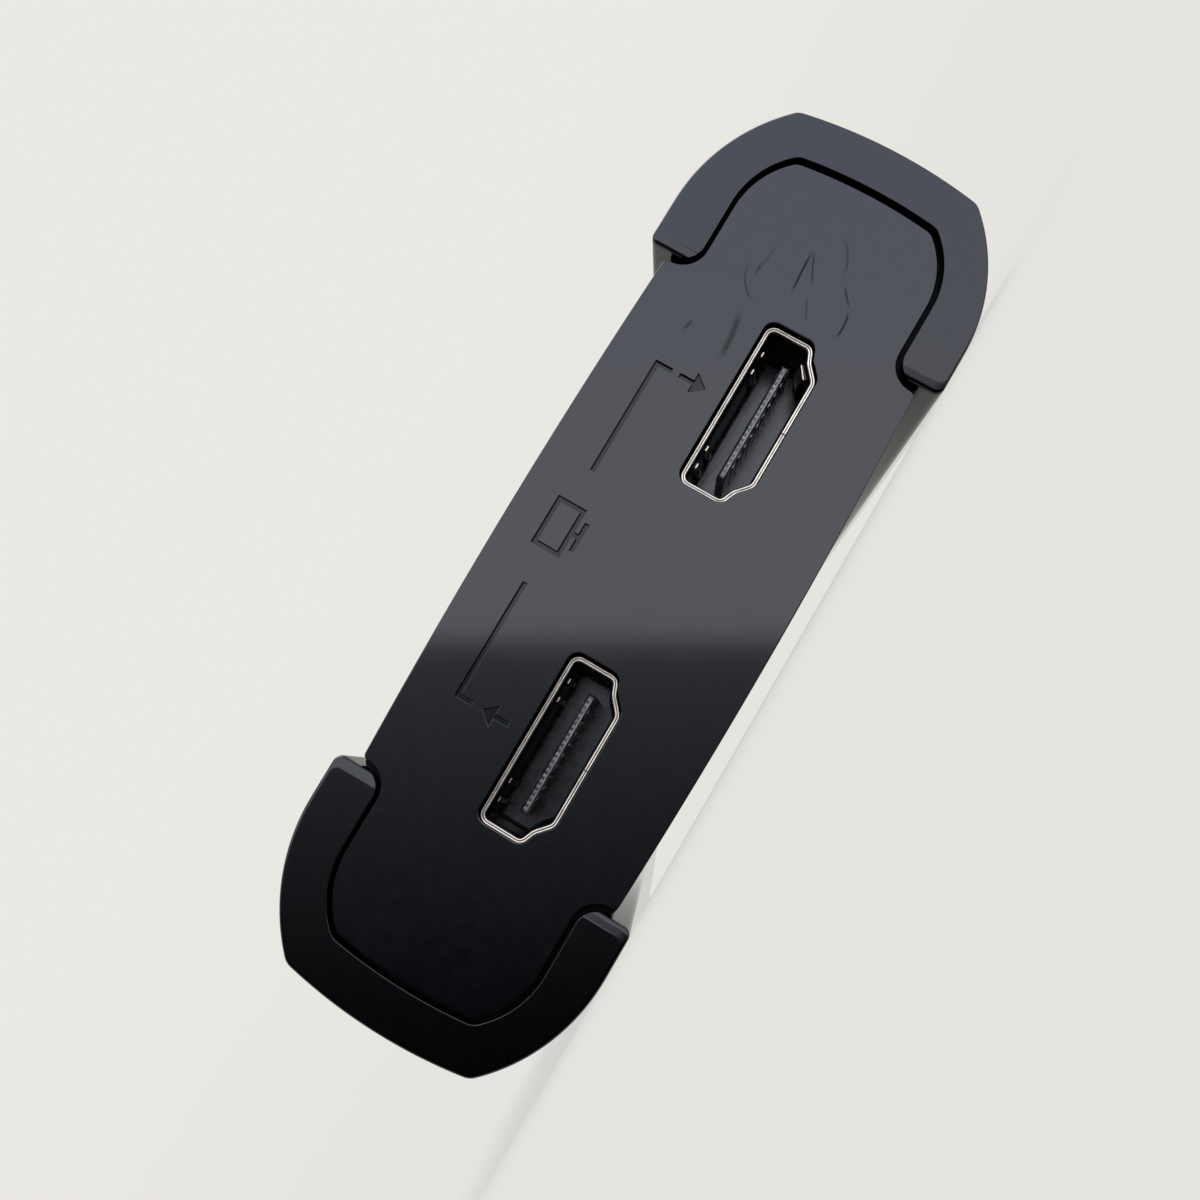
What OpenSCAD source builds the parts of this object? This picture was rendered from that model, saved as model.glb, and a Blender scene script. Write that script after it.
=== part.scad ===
// Video capture box: a flat case with two video sockets in its port panel, a data port and a sound jack
// at the rear, a record button on top, and two rail bumpers that wrap its left and right ends.
// X runs along the port panel, Y from the port panel (at -Y) to the rear, Z up.
// The origin lies on the floor below the middle of the box.

/* [Case] */
// Width over both bumpers
case_w = 82; // [80:1:90]
// Height over the bumpers
case_h = 27; // [26.5:0.5:30]
// Depth over the bumpers, port face to rear face
case_d = 115; // [112:1:135]
// Wall thickness of the two covers
wall = 2; // [1.7:0.1:2.2]
// How far the middle of a cover lies inside the bumpers
cover_inset = 1.35; // [1.1:0.05:1.6]
// Radius of the covers' gentle crown across the width
crown_r = 570; // [450:10:900]

/* [Bumpers] */
// Width of the bumper band along the top and bottom, seen from the front
side_band = 4.15; // [3.9:0.05:4.3]
// Width of the bumper band at the ends, seen from the front
end_band = 3.85; // [3.6:0.05:4.2]
// Length of a bumper's rails, from its end to its tips
bumper_len = 16.9; // [16:0.1:18]
// Radius of the outer shoulders
shoulder_r = 16; // [15:0.5:17]
// Distance from a bumper's end to where its outer shoulder starts
shoulder_run = 12.55; // [12:0.05:13]
// Radius of the bowed bumper ends
end_r = 44; // [40:1:60]
// Height of the centres of the panel's shoulders, above and below the middle
tongue_rise = 1.35; // [1.2:0.05:1.6]
// Distance from the panel's end to where its shoulder starts
tongue_run = 6.25; // [6:0.05:6.5]
// Rounding of the bumpers' outer front and rear edges
edge_r = 0.8; // [0.4:0.1:1.2]
// Bevel on the front and rear edges of the bumper tips
tip_bevel = 0.9; // [0.5:0.1:1.2]
// Rounding of the tips' inner corners
tip_r = 1.7; // [1.2:0.1:2]
// How far the bumpers stand proud of the panels
bumper_proud = 0.5; // [0.3:0.1:0.8]
// Seam between bumper and panel
seam = 0.4; // [0.3:0.05:0.5]
// Wider seam at the bumper tips
tip_seam = 0.7; // [0.5:0.05:0.9]

/* [Panels] */
// Thickness of a panel's face, in front of its flange
face_t = 1.3; // [1:0.1:1.6]
// Thickness of the flange that the bumpers hold
flange_t = 1.2; // [1:0.1:1.5]
// How far the flange reaches into the bumpers
flange_w = 1.2; // [1:0.1:1.4]
// Depth of the engraved marks
mark_depth = 0.3; // [0.2:0.05:0.5]
// Line width of the engraved marks
mark_line = 0.36; // [0.25:0.01:0.5]

/* [Video sockets] */
// Distance from the middle of the panel to each socket
socket_x = 15.7; // [15:0.1:16.5]
// Width of the socket opening
socket_w = 14; // [13.6:0.1:14.4]
// Height of the socket opening
socket_h = 4.55; // [4.4:0.05:4.7]
// Width of the opening's narrow side
socket_narrow_w = 9.6; // [9.2:0.1:10]
// Height of the sloped shoulders of the opening
socket_shoulder_h = 1.45; // [1.2:0.05:1.6]
// Sheet thickness of the socket shells
socket_sheet = 0.34; // [0.25:0.01:0.4]
// How far the shell's mouth flares outward
socket_flare = 0.25; // [0.15:0.01:0.3]
// How far the mouth lies behind the panel's face
socket_recess = 0.5; // [0.3:0.05:0.8]
// Length of the socket shells
socket_len = 10.6; // [10:0.1:11.5]
// Width of the contact blade in a socket
blade_w = 10.9; // [10.6:0.1:11.4]
// Thickness of the contact blade in a socket
blade_t = 0.7; // [0.6:0.05:0.9]

/* [Rear ports] */
// Distance of the data port from the middle
data_x = 12; // [10:0.5:14]
// Width of the data port's opening
data_w = 6.9; // [6.7:0.1:7.2]
// Height of the data port's opening
data_h = 3.1; // [3:0.05:3.3]
// Distance of the sound jack from the middle
jack_x = 12; // [10:0.5:14]
// Bore radius of the sound jack
jack_bore_r = 1.8; // [1.75:0.01:1.85]
// Radius of the sound jack's nose
jack_nose_r = 2.9; // [2.6:0.1:3.2]
// Length of the sound jack's block
jack_len = 11; // [10:0.5:12]

/* [Boards] */
// Height of the stand-offs under the main board
stand_h = 1.3; // [1.1:0.05:1.6]
// Thickness of the main board
board_t = 1.6; // [1.4:0.1:1.8]
// Thickness of the button board
button_board_t = 1.2; // [1:0.1:1.4]

/* [Record button] */
// Distance of the button behind the middle of the case
button_y = 16; // [14:0.5:18]
// Radius of the button
button_r = 9.7; // [9:0.1:10]
// How far the button stands proud of the cover
button_proud = 0.4; // [0.3:0.1:0.8]
// Travel of the button
button_travel = 0.35; // [0.25:0.05:0.4]
// Width of the light ring round the button
ring_w = 1; // [0.8:0.1:1.4]

/* [Screws] */
// Radius of the case screws
case_screw_r = 1.25; // [1:0.05:1.4]
// Radius of the board screws
board_screw_r = 1; // [0.9:0.05:1.1]

/* [Hidden] */
$fn = 64;

// Roundness of the very large crown and end circles
crown_fn = 1440;
// Roundness of the bumpers' shoulders and of the wide spheres
shoulder_fn = 256;
// Overlap that lets a cut pass right through
over = 1;
// How far the sides of a rounded outline lie inside its arcs
side_tuck = 0.001;
// Running clearance between the button and what it passes
button_gap = 0.3;
// Clearance between pieces that plug into each other
fit_gap = 0.1;

// Outline of the body, in the plane of the panel, measured from the middle of the case
mid_z = case_h / 2;
mid_half = mid_z - cover_inset;
tongue_half = mid_z - side_band - seam;
tongue_shoulder_r = tongue_half - tongue_rise;
tongue_end = case_w / 2 - end_band - seam;
end_r_extra = 1;
tongue_end_r = end_r + end_r_extra;
tongue_start = tongue_end - tongue_run;
shoulder_x = case_w / 2 - shoulder_run;
tip_x = case_w / 2 - bumper_len;
notch_x = tip_x - tip_seam;
notch_extra = 0.2;
notch_r = tip_r + seam + notch_extra;

// Stations along the depth
panel_y = case_d / 2 - bumper_proud;
cover_y = panel_y - face_t - flange_t;
mouth_y = panel_y - socket_recess;
board_gap = 0.3;
board_y = cover_y - board_gap;

// Heights
top_out_z = mid_z + mid_half;
top_in_z = top_out_z - wall;
floor_z = mid_z - mid_half + wall;
ledge_z = mid_z - tongue_half + wall;
board_bottom = ledge_z + stand_h;
board_top = board_bottom + board_t;

// Half the width of the main board, which reaches past the start of the covers' shoulders
board_reach = 2.9;
board_half_w = tongue_start + board_reach;

// Case screws, with their tubes below and bosses above
boss_r = 3;
boss_gap = 0.4;
case_screw_x = notch_x - wall - boss_r - boss_gap;
case_screw_in = 16.5;
case_screw_y = cover_y - case_screw_in;
case_head_r = 2.3;
case_head_h = 1.6;
case_head_z = board_top;
case_screw_bite = 8;

// Cross recesses of all screw heads
cross_w = 0.5;
cross_depth = 0.7;

// Board screws and their stand-offs
board_screw_side = 2.5;
board_screw_in = 10.5;
board_screw_x = tongue_start - board_screw_side;
board_screw_y = cover_y - board_screw_in;
board_head_r = 1.9;
board_head_h = 1.3;
board_screw_bite = 2.2;
stand_r = 2.4;

// Lugs that hold the bumpers between the covers
lug_step = 8;
lug_y = case_screw_y - lug_step;
lug_l = 10;
lug_half = 2;
lug_head_half = 3.6;
lug_head_t = 1.2;
lug_gap = 0.2;

// Lip that lines up the two covers
lip_t = 0.8;
lip_h = 1.5;

// Engraved marks of the port panel, measured from the middle of the case
mark_z = 7.7;
mark_leg = 1.2;
mark_start = 5.5;
arrow_z = 4.3;
arrow_w = 1.8;
arrow_h = 2.2;
screen_mark_size = [4.4, 2.6];
screen_mark_foot = 0.6;

// Video socket outline, measured from the board's top face
socket_corner_r = 0.5;
socket_points = port_points(socket_w, socket_h, socket_narrow_w, socket_shoulder_h, socket_sheet);
cut_gap = 0.25;
blade_z = socket_sheet + socket_h / 2;
blade_recess = 1.2;
core_front = 7.2;
pin_w = 0.4;
pin_t = 0.15;
pin_pitch = 1;
upper_pins = 10;
lower_pins = 9;
pin_foot = 0.8;
leg_l = 1;
leg_spots = [4, 8.5];
leg_reach = 0.8;
leg_gap = 0.1;
leg_rise = 2.4;
sheet_seam = 0.12;
collar = 0.7;
pin_recess = blade_recess + 0.3;
pin_over = 0.5;

// Data port outline, measured from the board's top face
data_sheet = 0.3;
data_flare = 0.2;
data_len = 7;
data_taper = 1.5;
data_shoulder_h = 1.1;
data_points = port_points(data_w, data_h, data_w - data_taper, data_shoulder_h, data_sheet);
data_corner_r = 0.4;
data_core_front = 5;
data_blade_w = 4.6;
data_blade_t = 0.8;
data_pins = 5;
data_pin_pitch = 0.8;
data_blade_z = data_sheet + data_h / 2;

// Sound jack
jack_wall = 1.3;
jack_axis_z = jack_bore_r + jack_wall;
jack_nose_len = face_t + flange_t + board_gap;
jack_pin_t = 0.3;
jack_pin_w = 1.4;
jack_pin_spots = [3, 6, 9];

// Record button stack, from the cover downward
ring_in = button_r + button_gap;
ring_out = ring_in + ring_w;
flange_reach = 2.5;
flange_r = button_r + flange_reach;
skirt_in = flange_r + button_gap + fit_gap;
skirt_t = 1;
skirt_out = skirt_in + skirt_t;
ring_plate_t = 0.8;
ring_seat_z = top_in_z - pow(skirt_out, 2) / (2 * (crown_r - wall));
ring_plate_z = ring_seat_z - ring_plate_t;
cap_flange_t = 1;
cap_flange_z = ring_plate_z - button_gap - cap_flange_t;
cap_top_z = top_out_z + button_proud;
dish_depth = 0.5;
dish_rim = 1.2;
stem_r = 2.2;
stem_l = 0.5;
plunger_top = cap_flange_z - stem_l;
plunger_rest = 0.55;
plunger_proud = button_travel + plunger_rest;
plunger_r = 1.7;
switch_top = plunger_top - plunger_proud;
switch_h = 3.4;
switch_w = 6.2;
switch_floor_t = 0.6;
switch_roof_t = 0.8;
dome_r = 2.2;
dome_h = 0.6;
dome_t = 0.1;
button_board_top = switch_top - switch_h;
button_board_bottom = button_board_top - button_board_t;
button_board_w = 36;
button_board_l = 28;
button_post_in = 2.5;
button_post_x = button_board_w / 2 - button_post_in;
button_post_y = button_board_l / 2 - button_post_in;
button_post_r = 2.3;
button_screw_r = 0.9;
button_screw_bite = 2.5;
button_head_r = 1.7;
button_head_h = 1.1;
light_size = [1.6, 1.6, 0.8];

// Ribbon between the two boards
ribbon_t = 0.3;
ribbon_w = 9;
ribbon_socket = [12, 4, 1.2];
ribbon_behind = 8;
ribbon_y = button_y + ribbon_behind;
ribbon_low_z = board_top + ribbon_socket[2] / 2;
ribbon_high_z = button_board_bottom - ribbon_socket[2] / 2;
ribbon_bend_r = (ribbon_high_z - ribbon_low_z) / 2;
ribbon_free = 1;
ribbon_bend_y = ribbon_y + ribbon_socket[1] / 2 + ribbon_free;
ribbon_plug = 2.5;

// Chips on the main board: the place of the middle, then [width, length, height]
encoder_at = on_board(0, -0.185);
encoder_size = [17, 17, 1.6];
pad_t = 0.5;
sink_size = [20, 20, 4.4];
sink_base = 1.4;
sink_fins = 8;
sink_fin_t = 1;
receiver_at = on_board(0.45, -0.46);
receiver_size = [10, 10, 1.2];
transmitter_at = on_board(-0.45, -0.46);
transmitter_size = [9, 9, 1.1];
memory_at = on_board(0.6, -0.165);
memory_size = [8, 11, 1.1];
flash_at = on_board(0.57, 0.11);
flash_size = [5, 6, 1];
sound_at = on_board(0.6, 0.44);
sound_size = [6, 6, 0.9];
crystal_spots = [on_board(0.39, 0.055), on_board(-0.39, 0.055)];
crystal_size = [3.2, 2.5, 0.8];
coil_spots = [on_board(-0.69, 0.26), on_board(-0.69, 0.41), on_board(-0.36, 0.53)];
coil_size = [5.2, 5.2, 2.8];
regulator_spots = [on_board(-0.45, 0.28), on_board(-0.45, 0.41), on_board(-0.18, 0.61)];
regulator_size = [3.2, 3.2, 0.9];
bulk_spots = [on_board(-0.78, 0.57), on_board(0.78, 0.22), on_board(0.78, 0.59)];
bulk_r = 2;
bulk_h = 3.6;
surge_size = [2.6, 1.2, 0.6];
chip_cap = [1, 0.5, 0.5];
cap_step = 1.6;
cap_gap = 1.5;
chip_resistor = [0.5, 1, 0.35];
resistor_start = 5;
resistor_count = 8;
resistor_step = (case_screw_x - boss_r - boss_gap - resistor_start) / resistor_count;
resistor_in = 15.5;
surge_start = 6;
surge_step = 4;
surge_in = 13;

// Place on the main board, as shares of its half width and half length
function on_board(share_x, share_y) = [share_x * board_half_w, share_y * board_y];

// Plain helpers for outlines
function unit(v) = v / norm(v);
function left_normal(a, b) = let (d = unit(b - a)) [-d[1], d[0]];
function next(points, i) = points[(i + 1) % len(points)];
function previous(points, i) = points[(i + len(points) - 1) % len(points)];

// Corner points moved inward by r, for an outline that runs anticlockwise
function inset(points, r) = [
    for (i = [0 : len(points) - 1])
        let (a = left_normal(previous(points, i), points[i]), b = left_normal(points[i], next(points, i)))
            points[i] + r * (a + b) / (1 + a * b)
];

// Outline of a port that is wide above and narrow below, resting on a sheet of thickness t
function port_points(w, h, narrow, shoulder, t) = [
    [-narrow / 2, t], [narrow / 2, t], [w / 2, t + shoulder],
    [w / 2, t + h], [-w / 2, t + h], [-w / 2, t + shoulder]
];

// Convex outline with true round corners, grown outward by grow.
// Its straight sides lie a hair inside the arcs, so that every side crosses its arcs cleanly.
module rounded_polygon(points, corner_r, grow) {
    core = inset(points, corner_r);
    r = corner_r + grow;
    polygon([
        for (i = [0 : len(core) - 1])
            for (edge = [[previous(core, i), core[i]], [core[i], next(core, i)]])
                core[i] - (r - side_tuck) * left_normal(edge[0], edge[1])
    ]);
    for (p = core)
        translate(p) circle(r = r);
}

// Rectangle about the origin with round corners
module rounded_rectangle(w, h, r) {
    square([w - 2 * r, h], center = true);
    square([w, h - 2 * r], center = true);
    for (sx = [-1, 1], sy = [-1, 1])
        translate([sx * (w / 2 - r), sy * (h / 2 - r)]) circle(r = r);
}

// Draws an outline from y0 to y1 along the depth, about the middle height
module along_y(y0, y1) {
    translate([0, y1, mid_z]) rotate([90, 0, 0]) linear_extrude(y1 - y0) children();
}

// Repeats a piece for the front and the rear end of the case
module both_ends() {
    children();
    mirror([0, 1, 0]) children();
}

// Repeats a piece on the left and the right
module both_sides() {
    children();
    mirror([1, 0, 0]) children();
}

// Places a piece at all four corners of a rectangle
module at_corners(x, y) {
    for (sx = [-1, 1], sy = [-1, 1])
        translate([sx * x, sy * y, 0]) children();
}

// Rounded right-hand end of the tongue: two shoulder discs, cut off by one large end disc
module tongue_tip(grow) {
    intersection() {
        union() {
            for (side = [-1, 1])
                translate([tongue_start, side * tongue_rise]) circle(r = tongue_shoulder_r + grow);
        }
        translate([tongue_end - tongue_end_r, 0]) circle(r = tongue_end_r + grow, $fn = crown_fn);
        translate([tongue_start, -case_h]) square([case_w, 2 * case_h]);
    }
}

// The part of the body that lies between the bumpers' inner faces
module tongue_outline(grow) {
    square([2 * tongue_start, 2 * (tongue_half + grow)], center = true);
    for (side = [0, 1])
        mirror([side, 0]) tongue_tip(grow);
}

// Inner corner between the raised middle of the body and its tongue
module notch_fillet(r) {
    difference() {
        square(r);
        translate([r, r]) circle(r = r);
    }
}

// Whole outline of panels and covers, moved inward by inward
module body_outline(inward) {
    intersection() {
        union() {
            square([2 * (notch_x - inward), 2 * mid_half], center = true);
            tongue_outline(-inward);
            for (sx = [0, 1], sz = [0, 1])
                mirror([sx, 0]) mirror([0, sz])
                    translate([notch_x - inward, tongue_half - inward]) notch_fillet(notch_r + inward);
        }
        translate([0, mid_half - crown_r]) circle(r = crown_r - inward, $fn = crown_fn);
        translate([0, crown_r - mid_half]) circle(r = crown_r - inward, $fn = crown_fn);
    }
}

// Hollow tube of the body outline, before it is split into the two covers
module cover_tube() {
    along_y(-cover_y, cover_y) difference() {
        body_outline(0);
        body_outline(wall);
    }
}

// Everything above the split between the covers
module upper_space() {
    translate([-case_w, -case_d, mid_z]) cube([2 * case_w, 2 * case_d, case_h]);
}

// Slots for the bumper lugs, half in each cover
module lug_slots() {
    both_sides() for (y = [-lug_y, lug_y])
        translate([tongue_end - wall - over, y - lug_l / 2 - lug_gap, mid_z - lug_half])
            cube([wall + 2 * over, lug_l + 2 * lug_gap, 2 * lug_half]);
}

module top_cover() color("#0b0c0e") difference() {
    union() {
        intersection() {
            cover_tube();
            upper_space();
        }
        at_corners(case_screw_x, case_screw_y)
            translate([0, 0, mid_z]) cylinder(r = boss_r, h = top_in_z - mid_z);
        translate([0, button_y, 0]) at_corners(button_post_x, button_post_y)
            translate([0, 0, button_board_top]) cylinder(r = button_post_r, h = top_in_z - button_board_top);
    }
    lug_slots();
    translate([0, button_y, top_in_z - over]) cylinder(r = ring_out, h = wall + 2 * over);
    at_corners(case_screw_x, case_screw_y)
        translate([0, 0, mid_z - over]) cylinder(r = case_screw_r, h = case_screw_bite + over);
    translate([0, button_y, 0]) at_corners(button_post_x, button_post_y)
        translate([0, 0, button_board_top - over]) cylinder(r = button_screw_r, h = button_screw_bite + over);
}

// Lip on the lower cover that steps inside the upper one, broken at the lugs
module cover_lip() {
    difference() {
        union() {
            along_y(-cover_y, cover_y) intersection() {
                difference() {
                    body_outline(wall + fit_gap);
                    body_outline(wall + fit_gap + lip_t);
                }
                square([case_w, 2 * lip_h], center = true);
            }
            along_y(-cover_y, cover_y) intersection() {
                difference() {
                    body_outline(wall);
                    body_outline(wall + fit_gap + lip_t);
                }
                translate([0, -lip_h]) square([case_w, 2 * lip_h - 2 * fit_gap], center = true);
            }
        }
        both_sides() for (y = [-lug_y, lug_y])
            translate([tongue_end / 2, y - lug_l / 2 - over, mid_z - lug_head_half - over])
                cube([tongue_end / 2, lug_l + 2 * over, 2 * (lug_head_half + over)]);
    }
}

module bottom_cover() color("#0b0c0e") difference() {
    union() {
        difference() {
            cover_tube();
            upper_space();
        }
        cover_lip();
        at_corners(case_screw_x, case_screw_y)
            translate([0, 0, floor_z]) cylinder(r = boss_r, h = mid_z - floor_z);
        at_corners(board_screw_x, board_screw_y)
            translate([0, 0, ledge_z - wall / 2]) cylinder(r = stand_r, h = stand_h + wall / 2);
    }
    lug_slots();
    at_corners(case_screw_x, case_screw_y) {
        cylinder(r = case_screw_r + fit_gap, h = mid_z + over);
        cylinder(r = case_head_r + fit_gap, h = case_head_z);
    }
    at_corners(board_screw_x, board_screw_y)
        translate([0, 0, board_bottom - board_screw_bite])
            cylinder(r = board_screw_r, h = board_screw_bite + over);
}

// Plate of a panel at the front end: face, flange and the two ribs that plug into the covers
module panel_plate() {
    along_y(-panel_y, -cover_y) body_outline(0);
    along_y(-panel_y + face_t, -cover_y) tongue_outline(flange_w);
    along_y(-cover_y - fit_gap, -cover_y + flange_t) intersection() {
        difference() {
            body_outline(wall + fit_gap);
            body_outline(wall + fit_gap + lip_t);
        }
        square([2 * (notch_x - wall - notch_r), case_h], center = true);
    }
}

// Port cut-out through a panel, drawn about a board-level port
module port_cut(points, corner_r, grow) {
    translate([0, flange_t + face_t + over, 0]) rotate([90, 0, 0])
        linear_extrude(2 * (flange_t + face_t + over)) rounded_polygon(points, corner_r, grow);
}

// Engraved line from one point to another, parallel to an edge of the panel
module mark_stroke(a, b) {
    low = [min(a[0], b[0]), min(a[1], b[1])];
    size = [abs(a[0] - b[0]), abs(a[1] - b[1])];
    translate(low - [mark_line, mark_line] / 2) square(size + [mark_line, mark_line]);
}

// Arrow mark, pointing up, with its middle at the origin
module arrow_mark() {
    mark_stroke([0, -arrow_h / 2], [0, 0]);
    polygon([[-arrow_w / 2, 0], [arrow_w / 2, 0], [0, arrow_h / 2]]);
}

// Plain screen mark: a frame on a foot, with the frame's middle at the origin
module screen_mark() {
    difference() {
        square(screen_mark_size, center = true);
        square(screen_mark_size - 2 * [mark_line, mark_line], center = true);
    }
    foot_z = -screen_mark_size[1] / 2 - screen_mark_foot;
    mark_stroke([0, -screen_mark_size[1] / 2], [0, foot_z]);
    mark_stroke([-screen_mark_size[0] / 4, foot_z], [screen_mark_size[0] / 4, foot_z]);
}

// All marks of the port panel, measured from the middle of the case
module port_marks() {
    for (side = [-1, 1]) {
        mark_stroke([side * mark_start, mark_z], [side * socket_x, mark_z]);
        mark_stroke([side * socket_x, mark_z], [side * socket_x, mark_z - mark_leg]);
    }
    translate([socket_x, arrow_z]) mirror([0, 1]) arrow_mark();
    translate([-socket_x, arrow_z]) arrow_mark();
    translate([0, mark_z]) screen_mark();
}

module front_panel() color("#26282c") difference() {
    panel_plate();
    for (side = [-1, 1])
        translate([side * socket_x, -panel_y, board_top])
            port_cut(socket_points, socket_corner_r, socket_sheet + socket_flare + cut_gap);
    along_y(-panel_y - over, -panel_y + mark_depth) port_marks();
}

module rear_panel() color("#26282c") difference() {
    mirror([0, 1, 0]) panel_plate();
    translate([-data_x, panel_y, board_top])
        port_cut(data_points, data_corner_r, data_sheet + data_flare + cut_gap);
    translate([jack_x, panel_y + over, board_top + jack_axis_z]) rotate([90, 0, 0])
        cylinder(r = jack_nose_r + fit_gap, h = face_t + flange_t + 2 * over);
}

// Disc of the case's full depth with rounded rims, its axis along the depth
module rounded_disc(x, z, r, fn) {
    translate([x, 0, mid_z + z]) rotate([90, 0, 0]) rotate_extrude($fn = fn) {
        translate([0, -case_d / 2]) square([r - edge_r, case_d]);
        translate([0, edge_r - case_d / 2]) square([r, case_d - 2 * edge_r]);
        for (s = [-1, 1])
            translate([r - edge_r, s * (case_d / 2 - edge_r)]) circle(r = edge_r);
    }
}

// Solid outer form of the right bumper
module bumper_block() {
    translate([tip_x, 0, mid_z]) rotate([90, 0, 90])
        linear_extrude(shoulder_x - tip_x) rounded_rectangle(case_d, case_h, edge_r);
    intersection() {
        rounded_disc(shoulder_x, mid_z - shoulder_r, shoulder_r, shoulder_fn);
        rounded_disc(shoulder_x, shoulder_r - mid_z, shoulder_r, shoulder_fn);
        rounded_disc(case_w / 2 - end_r, 0, end_r, crown_fn);
        translate([shoulder_x, -case_d, -over]) cube([case_w, 2 * case_d, case_h + 2 * over]);
    }
}

// Bevel on the front edge of the bumper's tips
module tip_bevel_cut() {
    translate([tip_x, -case_d / 2, -over]) linear_extrude(case_h + 2 * over)
        polygon([[-over, -over], [tip_bevel + over, -over], [-over, tip_bevel + over]]);
}

// Lugs on the bumper's inner face, each with a head behind the covers' wall
module bumper_lugs() {
    head_x = tongue_end - wall - lug_gap - lug_head_t;
    for (y = [-lug_y, lug_y]) {
        translate([head_x, y - lug_l / 2, mid_z - lug_half])
            cube([tongue_end + seam + end_band / 4 - head_x, lug_l, 2 * lug_half]);
        translate([head_x, y - lug_l / 2, mid_z - lug_head_half]) cube([lug_head_t, lug_l, 2 * lug_head_half]);
    }
}

module bumper() color("#1d1f22") {
    difference() {
        bumper_block();
        along_y(-case_d, case_d) tongue_outline(seam);
        for (sz = [0, 1])
            along_y(-case_d, case_d) mirror([0, sz]) translate([tip_x, tongue_half + seam]) notch_fillet(tip_r);
        both_ends() along_y(-panel_y + face_t - lug_gap, -cover_y + lug_gap) tongue_outline(flange_w + lug_gap);
        both_ends() tip_bevel_cut();
    }
    bumper_lugs();
}

module right_bumper() bumper();

module left_bumper() mirror([1, 0, 0]) bumper();

module case_screws() color("#9a9ca0") at_corners(case_screw_x, case_screw_y) {
    translate([0, 0, case_head_z]) cylinder(r = case_screw_r, h = mid_z - case_head_z + case_screw_bite);
    translate([0, 0, case_head_z - case_head_h]) difference() {
        cylinder(r = case_head_r, h = case_head_h);
        screw_cross(case_head_r, cross_depth);
    }
}

// Cross recess of a screw head, open downward
module screw_cross(head_r, depth) {
    for (turn = [0, 90])
        rotate(turn) translate([-head_r / 2, -cross_w / 2, -over]) cube([head_r, cross_w, depth + over]);
}

module main_board() color("#16492e") difference() {
    translate([-board_half_w, -board_y, board_bottom]) cube([2 * board_half_w, 2 * board_y, board_t]);
    at_corners(case_screw_x, case_screw_y)
        translate([0, 0, board_bottom - over]) cylinder(r = boss_r + board_gap, h = board_t + 2 * over);
    at_corners(board_screw_x, board_screw_y)
        translate([0, 0, board_bottom - over]) cylinder(r = board_screw_r + fit_gap, h = board_t + 2 * over);
    for (side = [-1, 1])
        at_front(side * socket_x) shell_legs(socket_w, socket_sheet, leg_spots, leg_gap);
    at_rear(-data_x) shell_legs(data_w, data_sheet, [data_len / 2], leg_gap);
}

module board_screws() color("#b9bbbe") at_corners(board_screw_x, board_screw_y) {
    translate([0, 0, board_bottom - board_screw_bite])
        cylinder(r = board_screw_r, h = board_t + board_screw_bite);
    translate([0, 0, board_top + board_head_h]) mirror([0, 0, 1]) difference() {
        cylinder(r = board_head_r, h = board_head_h);
        screw_cross(board_head_r, cross_depth);
    }
}

// Puts a port at the front edge of the main board: its depth runs along +Y from the mouth
module at_front(x) {
    translate([x, -mouth_y, board_top]) children();
}

// Puts a port at the rear edge of the main board
module at_rear(x) {
    translate([x, mouth_y, board_top]) rotate(180) children();
}

// Draws a port outline from depth y0 to y1
module in_depth(y0, y1) {
    translate([0, y1, 0]) rotate([90, 0, 0]) linear_extrude(y1 - y0) children();
}

// Legs of a port's shell, that stand in slots of the board
module shell_legs(w, sheet, spots, grow) {
    for (side = [-1, 1], y = spots)
        translate([side * (w + sheet) / 2 - sheet / 2 - grow, y - leg_l / 2 - grow, -board_t - leg_reach])
            cube([sheet + 2 * grow, leg_l + 2 * grow, board_t + leg_reach + leg_rise]);
}

// Folded sheet shell of a port, with a flared mouth and a seam below
module port_shell(points, corner_r, sheet, flare, length, w, spots) {
    difference() {
        union() {
            in_depth(0, collar) rounded_polygon(points, corner_r, flare + sheet);
            in_depth(collar / 2, length) rounded_polygon(points, corner_r, sheet);
        }
        in_depth(-over, collar - sheet) rounded_polygon(points, corner_r, flare);
        in_depth(-over, length + over) rounded_polygon(points, corner_r, 0);
        translate([-sheet_seam / 2, -over, -over]) cube([sheet_seam, length + 2 * over, 2 * sheet + over]);
    }
    shell_legs(w, sheet, spots, 0);
}

// One contact: a strip on the blade, a drop behind the core and a foot on the board
module contact(x, z, front, back) {
    translate([x - pin_w / 2, front, z]) cube([pin_w, back - front, pin_t]);
    translate([x - pin_w / 2, back - pin_t, 0]) cube([pin_w, pin_t, z + pin_t]);
    translate([x - pin_w / 2, back - pin_t, 0]) cube([pin_w, pin_foot, pin_t]);
}

// Row of contacts along the width
module contact_row(count, pitch, z, front, back) {
    for (i = [0 : count - 1])
        contact((i - (count - 1) / 2) * pitch, z, front, back);
}

module video_contacts() {
    back = socket_len + pin_over;
    contact_row(upper_pins, pin_pitch, blade_z + blade_t / 2, pin_recess, back);
    contact_row(lower_pins, pin_pitch, blade_z - blade_t / 2 - pin_t, pin_recess, back);
}

module video_core() difference() {
    union() {
        in_depth(core_front, socket_len) rounded_polygon(socket_points, socket_corner_r, 0);
        translate([-blade_w / 2, blade_recess, blade_z - blade_t / 2])
            cube([blade_w, core_front - blade_recess + over, blade_t]);
    }
    video_contacts();
}

module video_shell()
    port_shell(socket_points, socket_corner_r, socket_sheet, socket_flare, socket_len, socket_w, leg_spots);

module video_in_shell() color("#d9d4c8") at_front(socket_x) video_shell();

module video_in_core() color("#1a1b1d") at_front(socket_x) video_core();

module video_in_contacts() color("#c9c4b4") at_front(socket_x) video_contacts();

module video_out_shell() color("#d9d4c8") at_front(-socket_x) video_shell();

module video_out_core() color("#1a1b1d") at_front(-socket_x) video_core();

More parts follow.
